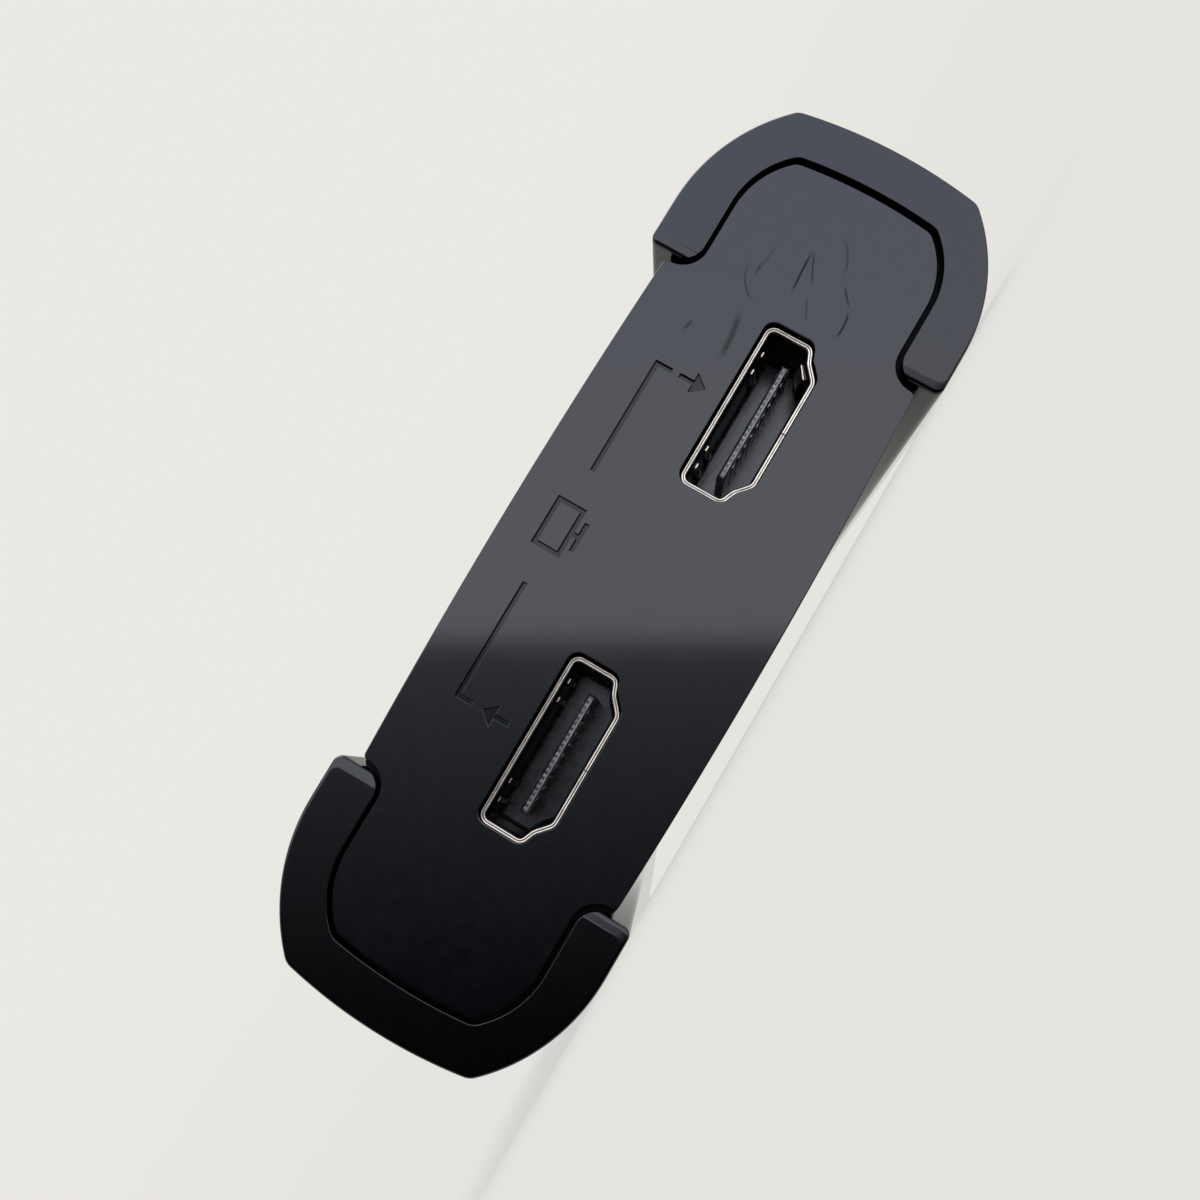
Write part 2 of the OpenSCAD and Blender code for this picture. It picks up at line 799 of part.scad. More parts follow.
module video_out_contacts() color("#c9c4b4") at_front(-socket_x) video_contacts();

module data_contacts_local() {
    contact_row(data_pins, data_pin_pitch, data_blade_z + data_blade_t / 2, pin_recess, data_len + pin_over);
}

module data_port_shell() color("#d9d4c8") at_rear(-data_x)
    port_shell(data_points, data_corner_r, data_sheet, data_flare, data_len, data_w, [data_len / 2]);

module data_port_core() color("#1a1b1d") at_rear(-data_x) difference() {
    union() {
        in_depth(data_core_front, data_len) rounded_polygon(data_points, data_corner_r, 0);
        translate([-data_blade_w / 2, blade_recess, data_blade_z - data_blade_t / 2])
            cube([data_blade_w, data_core_front - blade_recess + over, data_blade_t]);
    }
    data_contacts_local();
}

module data_port_contacts() color("#c9c4b4") at_rear(-data_x) data_contacts_local();

// Place of the sound jack: its nose ends flush with the rear panel's face
module at_jack() {
    translate([jack_x, panel_y, board_top]) rotate(180) children();
}

module audio_jack_body() color("#18191b") at_jack() difference() {
    side = 2 * (jack_bore_r + jack_wall);
    union() {
        translate([0, jack_nose_len + over, jack_axis_z]) rotate([90, 0, 0])
            cylinder(r = jack_nose_r, h = jack_nose_len + over);
        translate([-side / 2, jack_nose_len, 0]) cube([side, jack_len, side]);
    }
    translate([0, jack_nose_len + jack_len + over, jack_axis_z]) rotate([90, 0, 0])
        cylinder(r = jack_bore_r, h = jack_nose_len + jack_len + 2 * over);
}

module audio_jack_contacts() color("#c9c4b4") at_jack() {
    side = jack_bore_r + jack_wall;
    for (sx = [-1, 1], y = jack_pin_spots)
        translate([sx * (side + jack_pin_t / 2) - jack_pin_t / 2, jack_nose_len + y - jack_pin_w / 2, 0])
            cube([jack_pin_t, jack_pin_w, side]);
}

// Flat chip on the main board
module chip(at, size) {
    translate([at[0] - size[0] / 2, at[1] - size[1] / 2, board_top]) cube(size);
}

module encoder_chip() color("#202124") chip(encoder_at, encoder_size);

module thermal_pad() color("#8fa3ad")
    translate([0, 0, encoder_size[2]]) chip(encoder_at, [encoder_size[0], encoder_size[1], pad_t]);

module heat_sink() color("#3a3d42") translate([0, 0, encoder_size[2] + pad_t]) {
    chip(encoder_at, [sink_size[0], sink_size[1], sink_base]);
    step = (sink_size[0] - sink_fin_t) / (sink_fins - 1);
    for (i = [0 : sink_fins - 1])
        chip(encoder_at + [(i - (sink_fins - 1) / 2) * step, 0], [sink_fin_t, sink_size[1], sink_size[2]]);
}

module receiver_chip() color("#202124") chip(receiver_at, receiver_size);

module transmitter_chip() color("#202124") chip(transmitter_at, transmitter_size);

module memory_chips() color("#202124") both_sides() chip(memory_at, memory_size);

module flash_chip() color("#202124") chip(flash_at, flash_size);

module sound_chip() color("#202124") chip(sound_at, sound_size);

module clock_crystals() color("#c8c9cc") for (at = crystal_spots)
    chip(at, crystal_size);

module power_coils() color("#55585c") for (at = coil_spots)
    chip(at, coil_size);

module power_regulators() color("#202124") for (at = regulator_spots)
    chip(at, regulator_size);

module bulk_capacitors() color("#a9abae") for (at = bulk_spots)
    translate([at[0], at[1], board_top]) cylinder(r = bulk_r, h = bulk_h);

// Small capacitors stand in rows beside the larger chips
module small_capacitors() color("#b08d57") {
    for (i = [-2 : 2]) {
        chip(receiver_at + [i * cap_step, receiver_size[1] / 2 + cap_gap], chip_cap);
        chip(transmitter_at + [i * cap_step, transmitter_size[1] / 2 + cap_gap], chip_cap);
    }
    for (i = [-4 : 4])
        chip(encoder_at + [i * cap_step, sink_size[1] / 2 + cap_gap], chip_cap);
}

// Small resistors lie between the sockets and the chips behind them
module small_resistors() color("#303338") for (side = [-1, 1], i = [0 : resistor_count - 1])
    chip([side * (resistor_start + i * resistor_step), resistor_in - board_y], chip_resistor);

module surge_arrays() color("#202124") for (side = [-1, 1], i = [0, 1])
    chip([side * (surge_start + i * surge_step), surge_in - board_y], surge_size);

// Socket of the ribbon, with the slot that the ribbon plugs into
module ribbon_socket(z) {
    translate([0, ribbon_y, z]) difference() {
        cube(ribbon_socket, center = true);
        translate([-ribbon_w / 2, ribbon_socket[1] / 2 - ribbon_plug, -ribbon_t / 2])
            cube([ribbon_w, ribbon_plug + over, ribbon_t]);
    }
}

module ribbon_socket_lower() color("#e3e0d6") ribbon_socket(ribbon_low_z);

module ribbon_socket_upper() color("#e3e0d6") ribbon_socket(ribbon_high_z);

// The ribbon leaves both sockets toward the rear and turns back on itself
module flat_ribbon() color("#d8d4c4") translate([-ribbon_w / 2, 0, 0]) {
    plug_y = ribbon_y + ribbon_socket[1] / 2 - ribbon_plug;
    for (z = [ribbon_low_z, ribbon_high_z])
        translate([0, plug_y, z - ribbon_t / 2]) cube([ribbon_w, ribbon_bend_y - plug_y, ribbon_t]);
    translate([0, ribbon_bend_y, ribbon_low_z + ribbon_bend_r]) rotate([90, 0, 90]) linear_extrude(ribbon_w)
        difference() {
            circle(r = ribbon_bend_r + ribbon_t / 2);
            circle(r = ribbon_bend_r - ribbon_t / 2);
            translate([-case_h, -case_h]) square([case_h, 2 * case_h]);
        }
}

module button_board() color("#16492e") translate([0, button_y, button_board_bottom]) difference() {
    translate([-button_board_w / 2, -button_board_l / 2, 0])
        cube([button_board_w, button_board_l, button_board_t]);
    at_corners(button_post_x, button_post_y)
        translate([0, 0, -over]) cylinder(r = button_screw_r + fit_gap, h = button_board_t + 2 * over);
}

module button_board_screws() color("#b9bbbe") translate([0, button_y, button_board_bottom])
    at_corners(button_post_x, button_post_y) {
        cylinder(r = button_screw_r, h = button_board_t + button_screw_bite);
        translate([0, 0, -button_head_h]) difference() {
            cylinder(r = button_head_r, h = button_head_h);
            screw_cross(button_head_r, cross_depth);
        }
    }

module switch_base() color("#2b2d30") translate([0, button_y, button_board_top]) difference() {
    translate([-switch_w / 2, -switch_w / 2, 0]) cube([switch_w, switch_w, switch_h]);
    translate([0, 0, switch_floor_t])
        cylinder(r = dome_r + fit_gap, h = switch_h - switch_floor_t - switch_roof_t);
    translate([0, 0, switch_floor_t]) cylinder(r = plunger_r + button_gap, h = switch_h);
}

// Snap dome: a thin slice of a sphere that rests on the floor of the switch
module switch_dome() color("#c8c9cc") translate([0, button_y, button_board_top + switch_floor_t]) {
    r = (dome_r * dome_r + dome_h * dome_h) / (2 * dome_h);
    intersection() {
        translate([0, 0, dome_h - r]) difference() {
            sphere(r = r, $fn = shoulder_fn);
            sphere(r = r - dome_t, $fn = shoulder_fn);
        }
        cylinder(r = dome_r, h = dome_h + over);
    }
}

module switch_plunger() color("#e6e3da") translate([0, button_y, button_board_top + switch_floor_t + dome_h])
    cylinder(r = plunger_r, h = plunger_top - button_board_top - switch_floor_t - dome_h);

// Button cap: a round key with a shallow dish, a flange below the ring and a stem on the switch
module record_button() color("#101113") translate([0, button_y, 0]) difference() {
    dish_r = button_r - dish_rim;
    dish_ball = (dish_r * dish_r + dish_depth * dish_depth) / (2 * dish_depth);
    union() {
        translate([0, 0, cap_flange_z]) cylinder(r = button_r, h = cap_top_z - cap_flange_z);
        translate([0, 0, cap_flange_z]) cylinder(r = flange_r, h = cap_flange_t);
        translate([0, 0, plunger_top]) cylinder(r = stem_r, h = stem_l + over);
    }
    translate([0, 0, cap_top_z - dish_depth + dish_ball]) sphere(r = dish_ball, $fn = crown_fn / 4);
}

module light_ring() color("#dfe8ee") translate([0, button_y, 0]) difference() {
    skirt_z = button_board_top + light_size[2] + button_gap;
    union() {
        translate([0, 0, ring_plate_z]) cylinder(r = ring_out, h = top_out_z - ring_plate_z);
        translate([0, 0, ring_plate_z]) cylinder(r = skirt_out, h = ring_plate_t);
        translate([0, 0, skirt_z]) cylinder(r = skirt_out, h = ring_plate_z - skirt_z);
    }
    translate([0, 0, skirt_z - over]) cylinder(r = skirt_in, h = ring_plate_z - skirt_z + over);
    cylinder(r = ring_in, h = case_h + over);
}

module ring_lights() color("#f2f2e6") translate([0, button_y, button_board_top]) for (turn = [0 : 90 : 270])
    rotate(turn) translate([(skirt_in + skirt_out) / 2, 0, light_size[2] / 2]) cube(light_size, center = true);

top_cover();
bottom_cover();
front_panel();
rear_panel();
left_bumper();
right_bumper();
case_screws();
main_board();
board_screws();
video_in_shell();
video_in_core();
video_in_contacts();
video_out_shell();
video_out_core();
video_out_contacts();
data_port_shell();
data_port_core();
data_port_contacts();
audio_jack_body();
audio_jack_contacts();
encoder_chip();
thermal_pad();
heat_sink();
receiver_chip();
transmitter_chip();
memory_chips();
flash_chip();
sound_chip();
clock_crystals();
power_coils();
power_regulators();
bulk_capacitors();
small_capacitors();
small_resistors();
surge_arrays();
ribbon_socket_lower();
ribbon_socket_upper();
flat_ribbon();
button_board();
button_board_screws();
switch_base();
switch_dome();
switch_plunger();
record_button();
light_ring();
ring_lights();
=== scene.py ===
# %% [markdown]
# # A video capture box, dressed for its portrait
# The box is a flat black case with two video sockets in its port panel. Two rail bumpers wrap its ends.
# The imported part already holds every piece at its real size, so this lesson only adds looks around it:
# finer meshes where an edge or a groove shows, and a procedural finish for every surface.

import math

import bmesh
import bpy
from mathutils import Matrix, Vector
from mathutils.geometry import delaunay_2d_cdt


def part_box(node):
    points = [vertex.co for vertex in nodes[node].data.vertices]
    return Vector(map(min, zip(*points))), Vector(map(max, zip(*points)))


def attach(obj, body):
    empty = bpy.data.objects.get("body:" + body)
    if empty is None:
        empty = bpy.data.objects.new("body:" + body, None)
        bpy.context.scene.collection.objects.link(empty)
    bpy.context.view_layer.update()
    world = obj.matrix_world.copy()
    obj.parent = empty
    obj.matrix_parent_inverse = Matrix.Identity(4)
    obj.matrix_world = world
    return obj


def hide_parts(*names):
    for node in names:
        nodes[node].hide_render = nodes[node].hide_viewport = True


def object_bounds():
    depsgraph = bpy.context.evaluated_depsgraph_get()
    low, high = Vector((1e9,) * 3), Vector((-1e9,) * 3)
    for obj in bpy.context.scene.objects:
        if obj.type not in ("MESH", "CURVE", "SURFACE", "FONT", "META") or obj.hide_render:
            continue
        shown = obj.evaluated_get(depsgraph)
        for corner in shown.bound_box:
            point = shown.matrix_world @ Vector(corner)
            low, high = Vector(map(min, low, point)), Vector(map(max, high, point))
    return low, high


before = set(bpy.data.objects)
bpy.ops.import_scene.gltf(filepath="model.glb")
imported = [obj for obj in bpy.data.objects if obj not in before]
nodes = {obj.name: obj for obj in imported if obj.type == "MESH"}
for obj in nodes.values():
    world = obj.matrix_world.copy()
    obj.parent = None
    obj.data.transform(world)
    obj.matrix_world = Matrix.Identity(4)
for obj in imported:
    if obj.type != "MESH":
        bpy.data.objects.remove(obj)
cad_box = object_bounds()
print("loaded", len(nodes), "nodes")

# %% [markdown]
# Blender counts in metres, but a box of this size is easier to think about in millimetres.
# The sizes below are read from the part wherever a piece's box gives them.
# Outlines are drawn in the plane of the port panel, with heights measured from the middle of the case.

# %% Sizes read from the part
MM = 0.001


def box_mm(node):
    """Lowest and highest corner of a piece of the part, in millimetres."""
    low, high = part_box(node)
    return low / MM, high / MM


def middle_mm(node):
    """Middle of the box of a piece of the part, in millimetres."""
    low, high = box_mm(node)
    return (low + high) / 2


half_w = cad_box[1].x / MM
half_d = cad_box[1].y / MM
half_h = cad_box[1].z / MM / 2
face_y = box_mm("front_panel")[0].y
cover_y = box_mm("top_cover")[0].y
crown_half = box_mm("top_cover")[1].z - half_h
tongue_end = box_mm("bottom_cover")[1].x
board_top = box_mm("main_board")[1].z - half_h
print("case", 2 * half_w, 2 * half_d, 2 * half_h, "mm")

# %% [markdown]
# The photograph looks straight at the port panel from close by, a little from below and from the left,
# with the long axis of the panel leaning to the right. A camera is a place, a lens and three directions,
# so it is written here as its place, the way it looks and the way its top points.

# %% Camera at the photograph's viewing angle
IMAGE_SIZE = 1200
FOCAL_PIXELS = 1300
SENSOR = 36
camera_at = Vector((-13.50, -159.49, 3.37))
camera_forward = Vector((0.09653, 0.98867, 0.11498)).normalized()
camera_top = Vector((0.85578, -0.14143, 0.49764))
camera_right = camera_forward.cross(camera_top).normalized()
camera_up = camera_right.cross(camera_forward)

camera_data = bpy.data.cameras.new("camera")
camera_data.sensor_width = SENSOR
camera_data.lens = FOCAL_PIXELS / IMAGE_SIZE * SENSOR
camera_data.clip_start = 0.005
camera = bpy.data.objects.new("camera", camera_data)
turn = Matrix((camera_right, camera_up, -camera_forward)).transposed()
camera.matrix_world = Matrix.Translation(camera_at * MM) @ turn.to_4x4()
bpy.context.scene.collection.objects.link(camera)
bpy.context.scene.camera = camera
bpy.context.scene.view_settings.view_transform = "Standard"
print("lens", round(camera_data.lens, 1), "mm")

# %% [markdown]
# A finish is a small network of nodes. Wiring nodes by hand hides the idea behind the wires,
# so a little class stands for one socket and lets Python's own operators add the Math nodes.
# With it, a line such as `1 - mask * 0.5` reads as what it does.

# %% A socket that understands arithmetic


def arithmetic(operation, swapped=False):
    """An operator of two values that adds a Math node. Swapped is for a plain number on the left."""

    def method(self, other):
        pair = (other, self) if swapped else (self, other)
        return self.graph.node("ShaderNodeMath", {"operation": operation}, dict(enumerate(pair)))

    return method


class Signal:
    """One output socket of a node tree. Arithmetic on it adds Math nodes."""

    def __init__(self, graph, socket):
        self.graph = graph
        self.socket = socket

    __add__ = arithmetic("ADD")
    __radd__ = arithmetic("ADD", swapped=True)
    __sub__ = arithmetic("SUBTRACT")
    __rsub__ = arithmetic("SUBTRACT", swapped=True)
    __mul__ = arithmetic("MULTIPLY")
    __rmul__ = arithmetic("MULTIPLY", swapped=True)
    __truediv__ = arithmetic("DIVIDE")
    __rtruediv__ = arithmetic("DIVIDE", swapped=True)
    __pow__ = arithmetic("POWER")

    # Whether it is above a value, and the larger and the smaller of two values.
    above = arithmetic("GREATER_THAN")
    most = arithmetic("MAXIMUM")
    least = arithmetic("MINIMUM")

    def size(self):
        """The value without its sign."""
        return self.graph.node("ShaderNodeMath", {"operation": "ABSOLUTE"}, {0: self})

    def ease(self, low, high):
        """0 below low, 1 above high, and a smooth rise between."""
        settings = {"interpolation_type": "SMOOTHSTEP"}
        sockets = {"Value": self, "From Min": low, "From Max": high}
        return self.graph.node("ShaderNodeMapRange", settings, sockets)

    def other(self, output):
        """Another output of the same node."""
        return Signal(self.graph, self.socket.node.outputs[output])


print("sockets add, multiply and ease")

# %% [markdown]
# A material and a world both hold a node tree, so one class wraps either and adds any node to it.
# The Mix node has sockets for every kind of value, so its colour sockets are picked by their number.

# %% Node trees and finishes
MIX_FIRST = 6
MIX_SECOND = 7
MIX_RESULT = 2


class Graph:
    """The node tree of a material or a world, with one way to add any node to it."""

    def __init__(self, owner):
        owner.use_nodes = True
        self.tree = owner.node_tree

    def node(self, kind, settings, sockets, output=0):
        """Adds a node: its settings first, then the values or links of its sockets."""
        made = self.tree.nodes.new(kind)
        for name, value in settings.items():
            setattr(made, name, value)
        for name, value in sockets.items():
            self.plug(made.inputs[name], value)
        return Signal(self, made.outputs[output])

    def plug(self, socket, value):
        """Links a signal to a socket, or sets the socket's own value. Every colour is opaque."""
        if isinstance(value, Signal):
            self.tree.links.new(value.socket, socket)
        elif socket.type == "RGBA":
            socket.default_value = (*value, 1)
        else:
            socket.default_value = value

    def blend(self, factor, first, second):
        """Mixes two colours."""
        sockets = {0: factor, MIX_FIRST: first, MIX_SECOND: second}
        return self.node("ShaderNodeMix", {"data_type": "RGBA"}, sockets, MIX_RESULT)

    def mix(self, factor, first, second):
        """Mixes two shaders."""
        return self.node("ShaderNodeMixShader", {}, {0: factor, 1: first, 2: second})


class Finish(Graph):
    """A material with one Principled shader."""

    def __init__(self, name):
        self.material = bpy.data.materials.new(name)
        super().__init__(self.material)
        self.shader = self.tree.nodes["Principled BSDF"]

    def set(self, **values):
        """Sets sockets of the shader: Base_Color=... is its Base Color."""
        for name, value in values.items():
            self.plug(self.shader.inputs[name.replace("_", " ")], value)
        return self

    def place(self):
        """The place of a point on the piece, in metres, fixed to the piece."""
        return self.node("ShaderNodeTexCoord", {}, {}, "Object")

    def axes(self):
        """The place of a point as three numbers in millimetres."""
        sockets = {0: self.place(), "Scale": 1 / MM}
        scaled = self.node("ShaderNodeVectorMath", {"operation": "SCALE"}, sockets)
        x = self.node("ShaderNodeSeparateXYZ", {}, {0: scaled}, "X")
        return x, x.other("Y"), x.other("Z")

    def noise(self, grain, detail=2.0, distortion=0.0, stretch=(1, 1, 1)):
        """Cloudy noise whose lumps measure about grain millimetres."""
        place = self.node("ShaderNodeVectorMath", {"operation": "MULTIPLY"}, {0: self.place(), 1: stretch})
        sockets = {"Vector": place, "Scale": 1 / (grain * MM), "Detail": detail, "Distortion": distortion}
        return self.node("ShaderNodeTexNoise", {}, sockets, "Fac")

    def cover(self, mask, film):
        """Shows another shader over this one where the mask is 1."""
        below = Signal(self, self.shader.outputs[0])
        self.plug(self.tree.nodes["Material Output"].inputs["Surface"], self.mix(mask, below, film))

    def dull(self, mask, colour, roughness, gloss):
        """Covers the shader, where the mask is 1, by a plain dull film."""
        sockets = {"Base Color": colour, "Roughness": roughness, "Specular IOR Level": gloss}
        self.cover(mask, self.node("ShaderNodeBsdfPrincipled", {}, sockets))

    def bump(self, height, depth):
        """Feeds a height, 0 to 1, of a depth in millimetres to the shader's Normal."""
        normal = self.node("ShaderNodeBump", {}, {"Strength": 1.0, "Distance": depth * MM, "Height": height})
        return self.set(Normal=normal)


print("finishes are written as expressions")

# %% [markdown]
# The bumpers are moulded in black plastic. Their end faces have a fine grain, and their sides are smoother.
# A fine noise drives the bump, and a slower one lets the gloss wander so that no patch looks painted.

# %% Grained black of the bumpers
GRAIN_FROM = 1.0
GRAIN_FULL = 0.6


def dust_specks(finish, spacing, size, share):
    """Sparse round specks: a mask that is 1 on each speck."""
    sockets = {"Vector": finish.place(), "Scale": 1 / (spacing * MM)}
    distance = finish.node("ShaderNodeTexVoronoi", {}, sockets, "Distance")
    lot = finish.node("ShaderNodeSeparateColor", {}, {0: distance.other("Color")})
    return (1 - distance.ease(size / spacing / 2, size / spacing)) * lot.above(1 - share)


grained = Finish("grained_black")
grain = grained.noise(0.24, detail=3)
mottle = grained.noise(1.6, detail=4)
specks = dust_specks(grained, spacing=3.2, size=0.06, share=0.08)
_, depth, _ = grained.axes()
end_face = depth.size().ease(half_d - GRAIN_FROM, half_d - GRAIN_FULL)
black = grained.blend(mottle, (0.0004, 0.0005, 0.0010), (0.0016, 0.0017, 0.0026))
grained.set(Base_Color=grained.blend(specks * 0.5, black, (0.12, 0.12, 0.12)))
grained.set(Roughness=0.09 + end_face * (0.03 + mottle * 0.06 + grain * 0.06), Specular_IOR_Level=0.46)
grained.bump(grain, 0.004)
print(grained.material.name, len(grained.tree.nodes), "nodes")

# %% [markdown]
# The port panel is smoother than the bumpers, a satin black that mirrors a softened room; its sides get a
# dull dark film as painted shade.
# Plugs that missed their socket have rubbed streaks beside the input socket, where the satin is dull.
# Each streak is a short arc: near its curve and between its two ends, the mask rises.

# %% Satin black of the panels
SHADE_SIDE_FROM = 0.1
SHADE_SIDE_FULL = 0.55


def rubbed_stroke(x, z, start, end, bend, width):
    """Mask of a thin bowed stroke between two points of the panel."""
    run = Vector(end) - Vector(start)
    length = run.length
    dx = x - start[0]
    dz = z - start[1]
    along = (dx * run.x + dz * run.y) / length**2
    across = (dz * run.x - dx * run.y) / length
    bowed = across - along * (1 - along) * (4 * bend)
    ends = along.ease(0.0, 0.3) * (1 - along.ease(0.7, 1.0))
    return (1 - bowed.size().ease(0.0, width)) * ends


def satin_finish(name, strokes=()):
    """Satin black plastic: a dull film is painted shade on its sides, and wear on the strokes that plugs
    have rubbed into its face.
    """
    finish = Finish(name)
    fine = finish.noise(0.10, detail=3)
    slow = finish.noise(5.0)
    mottle = finish.noise(0.9, detail=4)
    specks = dust_specks(finish, spacing=3.6, size=0.07, share=0.10)
    black = finish.blend(mottle.ease(0.3, 0.7), (0.0022, 0.0026, 0.0042), (0.0052, 0.0056, 0.0074))
    finish.set(Base_Color=finish.blend(specks * 0.5, black, (0.14, 0.14, 0.14)))
    finish.set(Roughness=0.04 + fine * 0.03 + slow * 0.04, Specular_IOR_Level=0.5)
    finish.bump(fine, 0.0003)
    x, y, z = finish.axes()
    # Painted shade: deeper than the face, the sides turn dull and dark, so the flange and the walls of holes
    # and marks look shaded.
    side_shade_and_wear = 1 - y.size().ease(-face_y - SHADE_SIDE_FULL, -face_y - SHADE_SIDE_FROM)
    broken = finish.noise(0.5, detail=3).ease(0.12, 0.38)
    for start, end, bend, width, strength in strokes:
        side_shade_and_wear = side_shade_and_wear.most(rubbed_stroke(x, z, start, end, bend, width) * broken * strength)
    finish.dull(side_shade_and_wear, (0.0025, 0.0025, 0.0035), roughness=0.5, gloss=0.1)
    return finish


satin = satin_finish("satin_black")
print(satin.material.name, len(satin.tree.nodes), "nodes")

# %% [markdown]
# The covers are polished black. Nothing shows gloss better than its small faults,
# so slow smudges and faint hairline scratches change the roughness a little.

# %% Polished black of the covers and the button


def polished_finish(name, colour, lowest):
    """Polished plastic: lowest is the roughness where no smudge or scratch lies on it."""
    finish = Finish(name)
    smudges = finish.noise(9.0, detail=3, distortion=0.6)
    hairs = finish.noise(0.35, detail=2, stretch=(1, 0.04, 1))
    finish.set(Base_Color=finish.blend(smudges, colour, [2 * value for value in colour]))
    finish.set(Roughness=lowest + smudges.ease(0.45, 0.75) * 0.06 + hairs.ease(0.62, 0.72) * 0.06)
    return finish.bump(hairs, 0.0015)


polished = polished_finish("polished_black", (0.0050, 0.0052, 0.0060), lowest=0.09)
key_gloss = polished_finish("polished_key", (0.0065, 0.0065, 0.0072), lowest=0.14)
print(polished.material.name, key_gloss.material.name)

# %% [markdown]
# The socket shells are thin sheet, plated with nickel: bright at the mouth and slightly warm;
# further in they are painted near-black as shade inside the socket. Contacts, springs and screws are the
# same kind of metal in other tones.

# %% Plated metal, contacts and screws
LIT_LIP = 0.12
SHADE_FADE = 0.15


def metal_finish(name, bright, dull, roughness, grain):
    """Brushed metal whose two tones lie in patches."""
    finish = Finish(name)
    patches = finish.noise(grain * 8, detail=3)
    brushed = finish.noise(grain, detail=2, stretch=(1, 0.15, 1))
    finish.set(Base_Color=finish.blend(patches.ease(0.35, 0.75), bright, dull), Metallic=1.0)
    finish.set(Roughness=roughness + brushed * 0.14)
    return finish.bump(brushed, 0.003)


def shell_finish(name, bright, dull, painted_shade):
    """Plated sheet that shows its metal only at the lip of its socket, with painted shade further in."""
    finish = metal_finish(name, bright, dull, 0.30, 0.09)
    _, y, _ = finish.axes()
    # Painted shade: deeper than the lip, the shell turns near-black to stand for the shade inside the
    # socket.
    lit_to = -box_mm("video_in_shell")[0].y - LIT_LIP
    lit_mouth = y.size().ease(lit_to - SHADE_FADE, lit_to)
    patches = finish.noise(0.7, detail=3).ease(0.35, 0.75)
    return finish.set(Base_Color=finish.blend(lit_mouth, painted_shade, finish.blend(patches, bright, dull)))


plated = shell_finish("plated_nickel", (0.87, 0.78, 0.66), (0.68, 0.60, 0.50), (0.02, 0.02, 0.02))
contact_metal = metal_finish("contact_plating", (0.74, 0.71, 0.64), (0.55, 0.52, 0.45), 0.25, 0.07)
spring_metal = metal_finish("spring_bronze", (0.80, 0.70, 0.55), (0.60, 0.52, 0.40), 0.22, 0.07)
steel = metal_finish("plain_steel", (0.56, 0.56, 0.57), (0.38, 0.38, 0.40), 0.28, 0.08)
print(plated.material.name, contact_metal.material.name, spring_metal.material.name, steel.material.name)

# %% [markdown]
# Everything else is a moulding, a board or a small electronic piece. They differ in colour, grain and gloss,
# so one function makes them all: two tones that cloud into each other, and a bump of a finer grain.

# %% Mouldings, boards and small pieces


def clouded_finish(name, first, second, roughness, grain, depth=0.006, metallic=0.0):
    """Two tones in clouds, with a fine bump of a depth in millimetres."""
    finish = Finish(name)
    clouds = finish.noise(grain * 12, detail=4)
    fine = finish.noise(grain, detail=2)
    finish.set(Base_Color=finish.blend(clouds.ease(0.3, 0.7), first, second), Metallic=metallic)
    finish.set(Roughness=roughness + fine * 0.12)
    return finish.bump(fine, depth)


insulator = clouded_finish("black_insulator", (0.010, 0.011, 0.013), (0.022, 0.024, 0.028), 0.42, 0.09)
dusty = clouded_finish("dusty_insulator", (0.010, 0.011, 0.012), (0.066, 0.069, 0.074), 0.20, 0.10, 0.002)
dusty.set(Specular_IOR_Level=0.65)
teeth_grey = clouded_finish("worn_teeth", (0.30, 0.30, 0.29), (0.17, 0.17, 0.17), 0.45, 0.05, metallic=0.6)
board_green = clouded_finish("board_green", (0.010, 0.085, 0.036), (0.016, 0.120, 0.052), 0.30, 0.25)
chip_black = clouded_finish("chip_black", (0.016, 0.016, 0.018), (0.024, 0.024, 0.026), 0.55, 0.06)
pad_blue = clouded_finish("soft_pad", (0.30, 0.37, 0.42), (0.36, 0.43, 0.47), 0.70, 0.20)
sink_dark = clouded_finish("dark_sink", (0.10, 0.10, 0.11), (0.14, 0.14, 0.15), 0.38, 0.10, metallic=1.0)
can_metal = clouded_finish("bare_can", (0.55, 0.55, 0.57), (0.64, 0.64, 0.66), 0.30, 0.12, metallic=1.0)
ceramic = clouded_finish("tan_ceramic", (0.36, 0.23, 0.11), (0.46, 0.31, 0.16), 0.50, 0.05)
ivory = clouded_finish("ivory_moulding", (0.62, 0.60, 0.52), (0.70, 0.68, 0.60), 0.45, 0.12)
emitter = clouded_finish("light_emitter", (0.78, 0.74, 0.48), (0.84, 0.80, 0.58), 0.25, 0.05)
milky = clouded_finish("milky_guide", (0.62, 0.67, 0.70), (0.70, 0.74, 0.77), 0.22, 0.30, 0.002)
print("twelve plain finishes")

# %% [markdown]
# Pieces that nothing needs to refine stay as the part has them and only get their finish.

# %% Finishes of the pieces that stay
node_finishes = {
    steel: ("case_screws", "board_screws", "button_board_screws"),
    board_green: ("main_board", "button_board"),
    insulator: ("switch_base",),
    contact_metal: ("audio_jack_contacts", "switch_dome"),
    chip_black: (
        "encoder_chip", "receiver_chip", "transmitter_chip", "memory_chips", "flash_chip", "sound_chip",
        "power_regulators", "surge_arrays", "small_resistors", "power_coils",
    ),
    pad_blue: ("thermal_pad",),
    sink_dark: ("heat_sink",),
    can_metal: ("clock_crystals", "bulk_capacitors"),
    ceramic: ("small_capacitors",),
    ivory: ("ribbon_socket_lower", "ribbon_socket_upper", "flat_ribbon", "switch_plunger"),
    emitter: ("ring_lights",),
}
for finish, names in node_finishes.items():
    for name in names:
        nodes[name].data.materials.clear()
        nodes[name].data.materials.append(finish.material)
print(sum(len(names) for names in node_finishes.values()), "pieces keep their mesh")

# %% [markdown]
# Every new mesh here is a stack of rings: an outline at one depth, joined to the next by a band of faces.
# Caps close its ends. A cap may have holes, so it is filled by Blender's constrained triangulation.
# Building rings one by one keeps every edge where it should be, which a modifier on a dense mesh would not.

